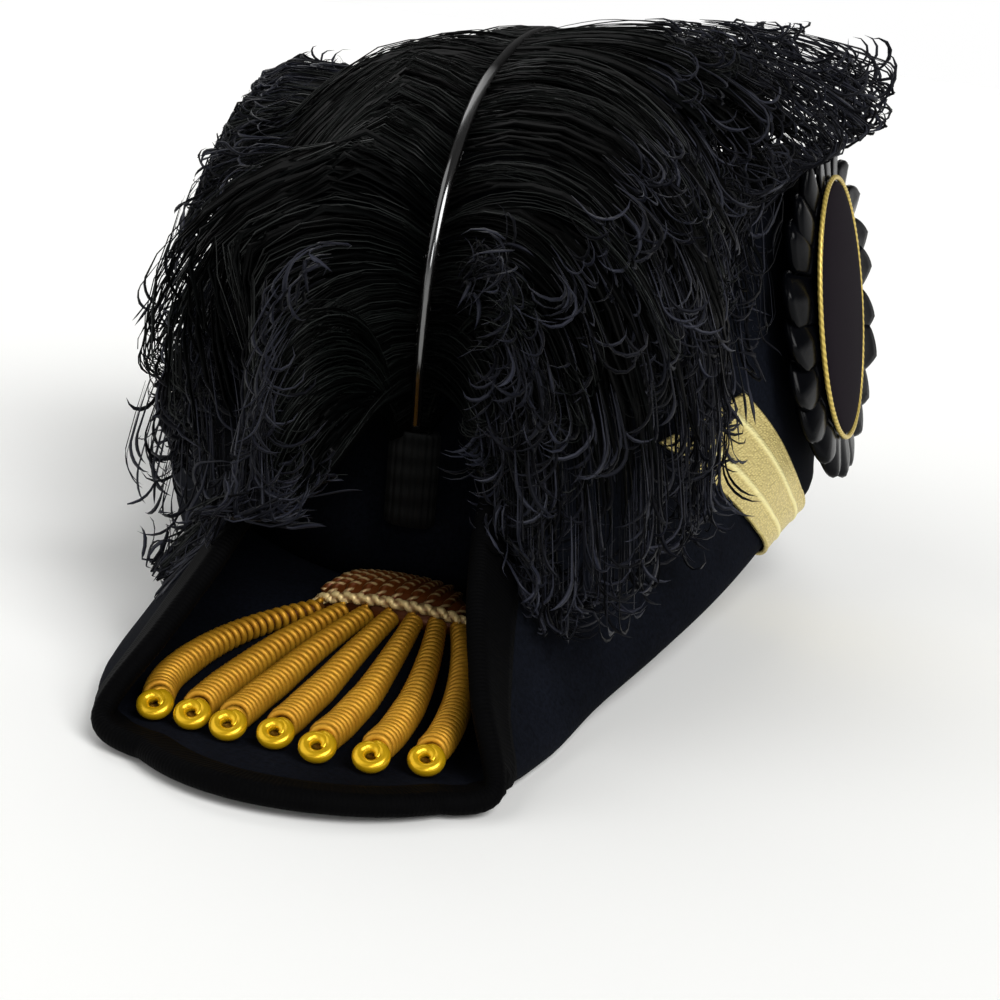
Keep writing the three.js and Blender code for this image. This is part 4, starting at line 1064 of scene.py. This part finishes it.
def fan_share(up, y):
    """Share across the brim at a height up a fan, along the felt from the middle of its fold."""
    foot_x, foot_z, edge_x, edge_z, _ = brim_at(y)
    rise = np.hypot(edge_x - foot_x, edge_z - foot_z)
    low = FLOOR_END + (FAN_START - FLOOR_END) * (up + FOLD) / (2 * FOLD)
    high = FAN_START + (1 - FAN_START) * (up - FOLD) / (rise - FOLD)
    return np.where(up < FOLD, low, high)


# Metal lace: flat gilt thread woven over and under, pale and silky, with bright raised lines. Each
# thread is painted pale where it is raised, a painted highlight, and dark gold at its edges, painted
# shade. The weave of 0.5 mm is drawn as 0.9 mm so that it shows.
metal_lace = bare_material("woven_gilt_lace")
along = add_node(metal_lace, "Attribute", give="Fac", attribute_name="along")
over = add_node(metal_lace, "Attribute", give="Fac", attribute_name="over")
bright = add_node(metal_lace, "Attribute", give="Fac", attribute_name="bright")
weave_place = add_node(metal_lace, "CombineXYZ", {"X": along, "Y": over})
weave = add_node(
    metal_lace,
    "TexVoronoi",
    {"Vector": weave_place, "Scale": 1 / LACE_PITCH, "Randomness": 0.5},
    distance="CHEBYCHEV",
)
weave_glint_and_shade = add_node(
    metal_lace, "Mix", {0: weave, 6: colour("#f2e296"), 7: colour("#86692a")}, give=2, data_type="RGBA"
)
tint = add_node(
    metal_lace, "Mix", {0: bright, 6: weave_glint_and_shade, 7: colour("#f8edaa")}, give=2, data_type="RGBA"
)
threads = add_node(
    metal_lace, "Bump", {"Strength": 0.9, "Distance": 0.25 * MM, "Height": weave}, invert=True
)
surface = add_node(
    metal_lace,
    "BsdfPrincipled",
    {"Base Color": tint, "Metallic": 0.7, "Roughness": 0.42, "Normal": threads},
)
add_node(metal_lace, "OutputMaterial", {"Surface": surface})

strap_up = np.linspace(STRAP_BOTTOM, STRAP_TOP, STRAP_STEPS)[:, None]
strap_over = np.linspace(0, 1, STRAP_COLUMNS)[None, :]
strap_y = STRAP_FOOT_Y - math.tan(STRAP_SLANT) * strap_up
strap_y = strap_y + STRAP_WIDTH / math.cos(STRAP_SLANT) * (strap_over - 0.5)
strap_share = fan_share(strap_up, strap_y)
line_near = np.min([np.abs(strap_over - place) for place in LINE_PLACES], axis=0)
strap_bright = np.clip(LINE_SHARPNESS * (1 - line_near / LINE_HALF), 0, 1) + 0 * strap_up
strap_relief = LINE_RELIEF * strap_bright + HEM_RELIEF * (np.abs(strap_over - 0.5) > 0.5 - HEM_WIDTH)
strap_normal = brim_normal(strap_share, strap_y)
strap_under = brim_point(strap_share, strap_y) + (FELT / 2 + STRAP_LIE) * strap_normal
strap_front = strap_under + (STRAP_THICKNESS + strap_relief)[..., None] * strap_normal
strap_size = STRAP_STEPS * STRAP_COLUMNS
front_faces = grid_faces(STRAP_STEPS, STRAP_COLUMNS)
strap_index = np.arange(strap_size).reshape(STRAP_STEPS, STRAP_COLUMNS)
hem = [strap_index[0, :-1], strap_index[:-1, -1], strap_index[-1, :0:-1], strap_index[:0:-1, 0]]
hem = np.concatenate(hem)
hem_faces = np.stack([hem, np.roll(hem, -1), np.roll(hem, -1) + strap_size, hem + strap_size], -1)
strap_along = strap_up / math.cos(STRAP_SLANT) + 0 * strap_over
strap = mesh_piece(
    "gold_lace_strap",
    np.concatenate([strap_front.reshape(-1, 3), strap_under.reshape(-1, 3)]),
    [front_faces[:, ::-1], front_faces + strap_size, hem_faces],
    metal_lace,
    along=np.tile(np.ravel(strap_along), 2),
    over=np.tile(np.ravel(STRAP_WIDTH * strap_over + 0 * strap_up), 2),
    bright=np.tile(np.ravel(strap_bright), 2),
)
stands_for(strap, "lace", "gold_strap")

# Rosette ruffle. Black satin ribbon folded into a ring of 22 flat loops that overlap one another, creased
# down their middles and sewn through their roots to a stiff backing. The loops in front droop with the
# felt, which curves away from the disc, and those behind stand up round its edge.
PLEATS = 22
ROSETTE_UP, ROSETTE_OFF = 54, 0.8
INNER_X, INNER_Y, OUTER_X, OUTER_Y = 26, 30, 40.5, 46.5
LOOP_MIDDLE, LOOP_HALF, LOOP_LEAN, LOOP_OVERLAP = 4.1, 1.3, 1.5, 1.3
LOOP_CREASE, LOOP_SWAY = 1.5, 3.8
LOOP_SHIFT, LOOP_SHORTER, LOOP_TILT, LOOP_RISE = 0.08, 0.04, 0.4, 0.4  # how unevenly the loops are sewn
CORNER_CUT, CORNER_POWER = 0.36, 1.4  # how the end of a loop is rounded
EDGE_PINCH, ROOT_SWELL = 0.65, 0.25  # how much flatter a loop is at its edges, and fuller at its root
SATIN = 0.5
LOOP_COLUMNS, RUN_STEPS, BEND_STEPS = 13, 9, 5

rosette_share = fan_share(np.float64(ROSETTE_UP), np.float64(ROSETTE_Y))
rosette_out = brim_normal(rosette_share, ROSETTE_Y)
rosette_rear = unit(np.cross((0, 0, 1), rosette_out))
rosette_top = np.cross(rosette_out, rosette_rear)
rosette_middle = brim_point(rosette_share, ROSETTE_Y) + (FELT / 2 + ROSETTE_OFF) * rosette_out


def on_fan(points):
    """Sets points of the rosette, built facing +Z with its height along +Y, on the fan."""
    x, y, z = np.moveaxis(np.asarray(points, float), -1, 0)[..., None]
    return rosette_middle + x * rosette_rear + y * rosette_top + z * rosette_out


# Satin ribbon: smooth floats of thread that give folds soft highlights. The crests of its rumples are also
# painted faintly bluish, a painted highlight, and their hollows black, painted shade.
RUMPLE = 6
satin = bare_material("black_satin_ribbon")
place = add_node(satin, "TexCoord", give="Object")
crease = add_node(satin, "TexNoise", {"Vector": place, "Scale": 1 / (RUMPLE * MM), "Detail": 3})
# Painted highlight on the rumples' crests, painted shade in their hollows.
tint = add_node(
    satin, "Mix", {0: crease, 6: colour("#010102"), 7: colour("#050609")}, give=2, data_type="RGBA"
)
creased = add_node(satin, "Bump", {"Strength": 0.3, "Distance": 0.4 * MM, "Height": crease})
surface = add_node(
    satin,
    "BsdfPrincipled",
    {"Base Color": tint, "Roughness": 0.22, "Specular IOR Level": 0.08, "Normal": creased},
)
add_node(satin, "OutputMaterial", {"Surface": surface})

loop_side = np.linspace(-1, 1, LOOP_COLUMNS)[None, :]
bend = np.linspace(math.pi / 2, -math.pi / 2, BEND_STEPS)
loop_run = np.linspace(0, 1, RUN_STEPS)[:-1]
loop_reach = np.concatenate([loop_run, np.ones(BEND_STEPS), loop_run[::-1]])
loop_swell = np.concatenate([np.zeros(RUN_STEPS - 1), np.cos(bend), np.zeros(RUN_STEPS - 1)])
loop_face = np.concatenate([np.ones(RUN_STEPS - 1), np.sin(bend), -np.ones(RUN_STEPS - 1)])
loop_reach, loop_swell, loop_face = (row[:, None] for row in (loop_reach, loop_swell, loop_face))
rounded = 1 - CORNER_CUT * np.abs(loop_side) ** CORNER_POWER
pinch = 1 - EDGE_PINCH + EDGE_PINCH * np.sqrt(1 - 0.95 * loop_side**2)
ruffle_points, ruffle_faces = [], []
draw = np.random.default_rng(3)
loop_faces = grid_faces(len(loop_reach), LOOP_COLUMNS)
for number in range(PLEATS):
    shift, longer, tilt, rise = draw.normal(0, 1, 4)
    place_round = number + 0.5 + LOOP_SHIFT * shift + 0.5 * LOOP_OVERLAP * loop_side
    turn = 2 * math.pi * place_round / PLEATS
    out = loop_reach * rounded * (1 - LOOP_SHORTER * (1 - np.tanh(longer)))
    half = LOOP_HALF * (1 + ROOT_SWELL * (1 - loop_reach)) * (1 + (pinch - 1) * loop_reach)
    out_x = INNER_X + (OUTER_X - INNER_X - LOOP_HALF) * out + half * loop_swell
    out_y = INNER_Y + (OUTER_Y - INNER_Y - LOOP_HALF) * out + half * loop_swell
    z = LOOP_MIDDLE + half * loop_face + (LOOP_LEAN + LOOP_TILT * tilt) * loop_side * loop_reach
    sway = LOOP_SWAY * out * np.cos(turn) * np.abs(np.cos(turn))
    z = z + loop_reach * (LOOP_CREASE * (0.5 - np.abs(loop_side)) + sway + LOOP_RISE * np.tanh(rise))
    loop = np.stack([out_x * np.cos(turn), out_y * np.sin(turn), z + 0 * turn], -1)
    ruffle_faces.append(loop_faces + number * loop.shape[0] * loop.shape[1])
    ruffle_points.append(on_fan(loop).reshape(-1, 3))
ruffle = mesh_piece("satin_ruffle", np.concatenate(ruffle_points), [np.concatenate(ruffle_faces)], satin)
thicken(ruffle, SATIN)
stands_for(ruffle, "satin", "rosette_ruffle")

# Rosette disc. A stiff oval button with a little padding, covered in plain dark cloth drawn tight over
# its edge and sewn behind.
DISC_HALF_X, DISC_HALF_Y = 29.5, 33.5
DISC_BACK, DISC_EDGE, DISC_MIDDLE = 6.2, 7.2, 9.4
DISC_TURNS, DISC_ROUNDS = 96, 14

# Plain cloth: a dull aubergine weave. Threads of 0.35 mm are drawn as 0.7 mm so that they show.
THREAD = 0.7
disc_cloth = bare_material("aubergine_cloth")
place = add_node(disc_cloth, "TexCoord", give="Object")
warp = add_node(
    disc_cloth, "TexNoise", {"Vector": place, "Scale": 1 / (THREAD * MM), "Detail": 3, "Roughness": 0.6}
)
tint = add_node(
    disc_cloth, "Mix", {0: warp, 6: colour("#0d090d"), 7: colour("#181219")}, give=2, data_type="RGBA"
)
weft = add_node(disc_cloth, "Bump", {"Strength": 0.3, "Distance": 0.12 * MM, "Height": warp})
surface = add_node(
    disc_cloth,
    "BsdfPrincipled",
    {"Base Color": tint, "Roughness": 0.9, "Specular IOR Level": 0.05, "Normal": weft},
)
add_node(disc_cloth, "OutputMaterial", {"Surface": surface})

# Rounds of the button as (share of its half sizes, height), from the middle of its back over its face.
dome_out = np.sin(np.linspace(math.pi / 2, 0, DISC_ROUNDS)[1:-1])
dome_up = DISC_EDGE + (DISC_MIDDLE - DISC_EDGE) * np.sqrt(1 - dome_out**2)
rounds = [(0.5, DISC_BACK), (0.97, DISC_BACK), (0.995, DISC_BACK + 0.3), (1, DISC_EDGE - 0.2)]
rounds += zip(dome_out, dome_up)
disc_turn = full_turn(DISC_TURNS)
disc_outline = np.stack(
    [DISC_HALF_X * np.cos(disc_turn), DISC_HALF_Y * np.sin(disc_turn), 0 * disc_turn], -1
)
button = [out * disc_outline + (0, 0, up) for out, up in rounds]
button_points = np.concatenate([*button, [(0, 0, DISC_BACK), (0, 0, DISC_MIDDLE)]])
first_round = np.arange(DISC_TURNS)
last_round = first_round + (len(rounds) - 1) * DISC_TURNS
back_faces = cap(first_round, len(button_points) - 2)[:, ::-1]
face_faces = cap(last_round, len(button_points) - 1)
disc = mesh_piece(
    "padded_rosette_disc",
    on_fan(button_points),
    [grid_faces(len(rounds), DISC_TURNS, loop_columns=True), back_faces, face_faces],
    disc_cloth,
)
stands_for(disc, "padding", "rosette_disc")

# Rosette rim. A thin cord of pale gilt thread, couched round the edge of the disc.
RIM_RADIUS = 0.65
RIM_PITCH, RIM_DEPTH = 1.8, 0.07
RIM_STEPS, RIM_SIDES = 640, 9

# Pale gilt thread: paler than the ropes' wire, and closely wound, so that it keeps one even line of light.
# The plies are painted pale along their crests, a painted highlight, and darker between them, painted
# shade.
pale_gilt = bare_material("pale_gilt_thread")
twist = add_node(pale_gilt, "Attribute", give="Fac", attribute_name="twist")
# Painted highlight on the ply crests, painted shade between the plies.
tint = add_node(
    pale_gilt, "Mix", {0: twist, 6: colour("#8f7426"), 7: colour("#e3cb6c")}, give=2, data_type="RGBA"
)
surface = add_node(pale_gilt, "BsdfPrincipled", {"Base Color": tint, "Metallic": 0.5, "Roughness": 0.4})
add_node(pale_gilt, "OutputMaterial", {"Surface": surface})

rim_turn = full_turn(RIM_STEPS)
rim_out = np.stack([np.cos(rim_turn), np.sin(rim_turn), 0 * rim_turn], -1)
rim_path = rim_out * (DISC_HALF_X + SEAM + RIM_RADIUS, DISC_HALF_Y + SEAM + RIM_RADIUS, 0)
rim_path += (0, 0, DISC_BACK + SEAM + RIM_RADIUS)
rim_plies = round(2 * math.pi * (DISC_HALF_X + DISC_HALF_Y) / 2 / RIM_PITCH)
rim_roll = full_turn(RIM_SIDES)[None, :]
rim_ply = np.cos(2 * rim_roll - rim_plies * rim_turn[:, None])
rim_thick = (RIM_RADIUS * (1 + RIM_DEPTH * rim_ply))[..., None]
rim_points = rim_path[:, None] + rim_thick * (
    np.cos(rim_roll)[..., None] * rim_out[:, None] + np.sin(rim_roll)[..., None] * np.array((0, 0, 1))
)
rim = mesh_piece(
    "gilt_rosette_rim",
    on_fan(rim_points),
    [grid_faces(RIM_STEPS, RIM_SIDES, loop_rows=True, loop_columns=True)[:, ::-1]],
    pale_gilt,
    twist=0.6 + 0.4 * rim_ply,
)
stands_for(rim, "bullion_wire", "rosette_rim")

# Studio: a pale floor that meets a pale surround, a large soft light in front and above on the rosette's
# side, a small low one in front, a weaker one on the other side and one behind.
FLOOR_SIZE = 200
bpy.ops.mesh.primitive_plane_add(size=FLOOR_SIZE)
floor = bpy.context.object
floor.name = "studio_floor"
paper = bare_material("white_paper_floor")
surface = add_node(
    paper,
    "BsdfPrincipled",
    {"Base Color": colour("#f4f4f2"), "Roughness": 0.9, "Specular IOR Level": 0.1},
)
add_node(paper, "OutputMaterial", {"Surface": surface})
floor.data.materials.append(paper)

world = bpy.data.worlds.new("pale_surround")
bpy.context.scene.world = world
world.use_nodes = True
world.node_tree.nodes.clear()
direction = add_node(world, "TexCoord", give="Generated")
upward = add_node(world, "SeparateXYZ", {0: direction}, give="Z")
ceiling = add_node(
    world,
    "MapRange",
    {"Value": upward, "From Min": 0.04, "From Max": 0.4, "To Min": 1.0, "To Max": 0.1},
    interpolation_type="SMOOTHSTEP",
)
glow = add_node(world, "Background", {"Color": colour("#ffffff"), "Strength": ceiling})
add_node(world, "OutputWorld", {"Surface": glow})

for name, spot, spread, strength in (
    ("key_light", (0.85, -0.85, 1.15), 35, 2.5),
    ("front_light", (0.25, -1, 0.42), 14, 0.35),
    ("fill_light", (-0.95, -0.5, 0.9), 60, 0.9),
    ("back_light", (-0.3, 1.1, 0.9), 50, 1.1),
):
    lamp = bpy.data.lights.new(name, "SUN")
    lamp.angle = math.radians(spread)
    lamp.energy = strength
    light = bpy.data.objects.new(name, lamp)
    bpy.context.scene.collection.objects.link(light)
    light.matrix_world = Vector(spot).to_track_quat("Z", "Y").to_matrix().to_4x4()

# Camera: close above the front peak and a little on the rosette's side, tilted with the hat.
CAMERA_PLACE = (76.7, -540, 143)
CAMERA_YAW, CAMERA_PITCH, CAMERA_ROLL = (math.radians(angle) for angle in (8.22, 13.6, 7.3))
camera_data = bpy.data.cameras.new("camera")
camera_data.lens = 70.6
camera_data.sensor_width = 36
camera_data.clip_start = 0.01
camera = bpy.data.objects.new("camera", camera_data)
bpy.context.scene.collection.objects.link(camera)
camera.matrix_world = (
    Matrix.Translation([c * MM for c in CAMERA_PLACE])
    @ Matrix.Rotation(CAMERA_YAW, 4, "Z")
    @ Matrix.Rotation(math.pi / 2 - CAMERA_PITCH, 4, "X")
    @ Matrix.Rotation(CAMERA_ROLL, 4, "Z")
)
bpy.context.scene.camera = camera
bpy.context.scene.view_settings.view_transform = "Standard"
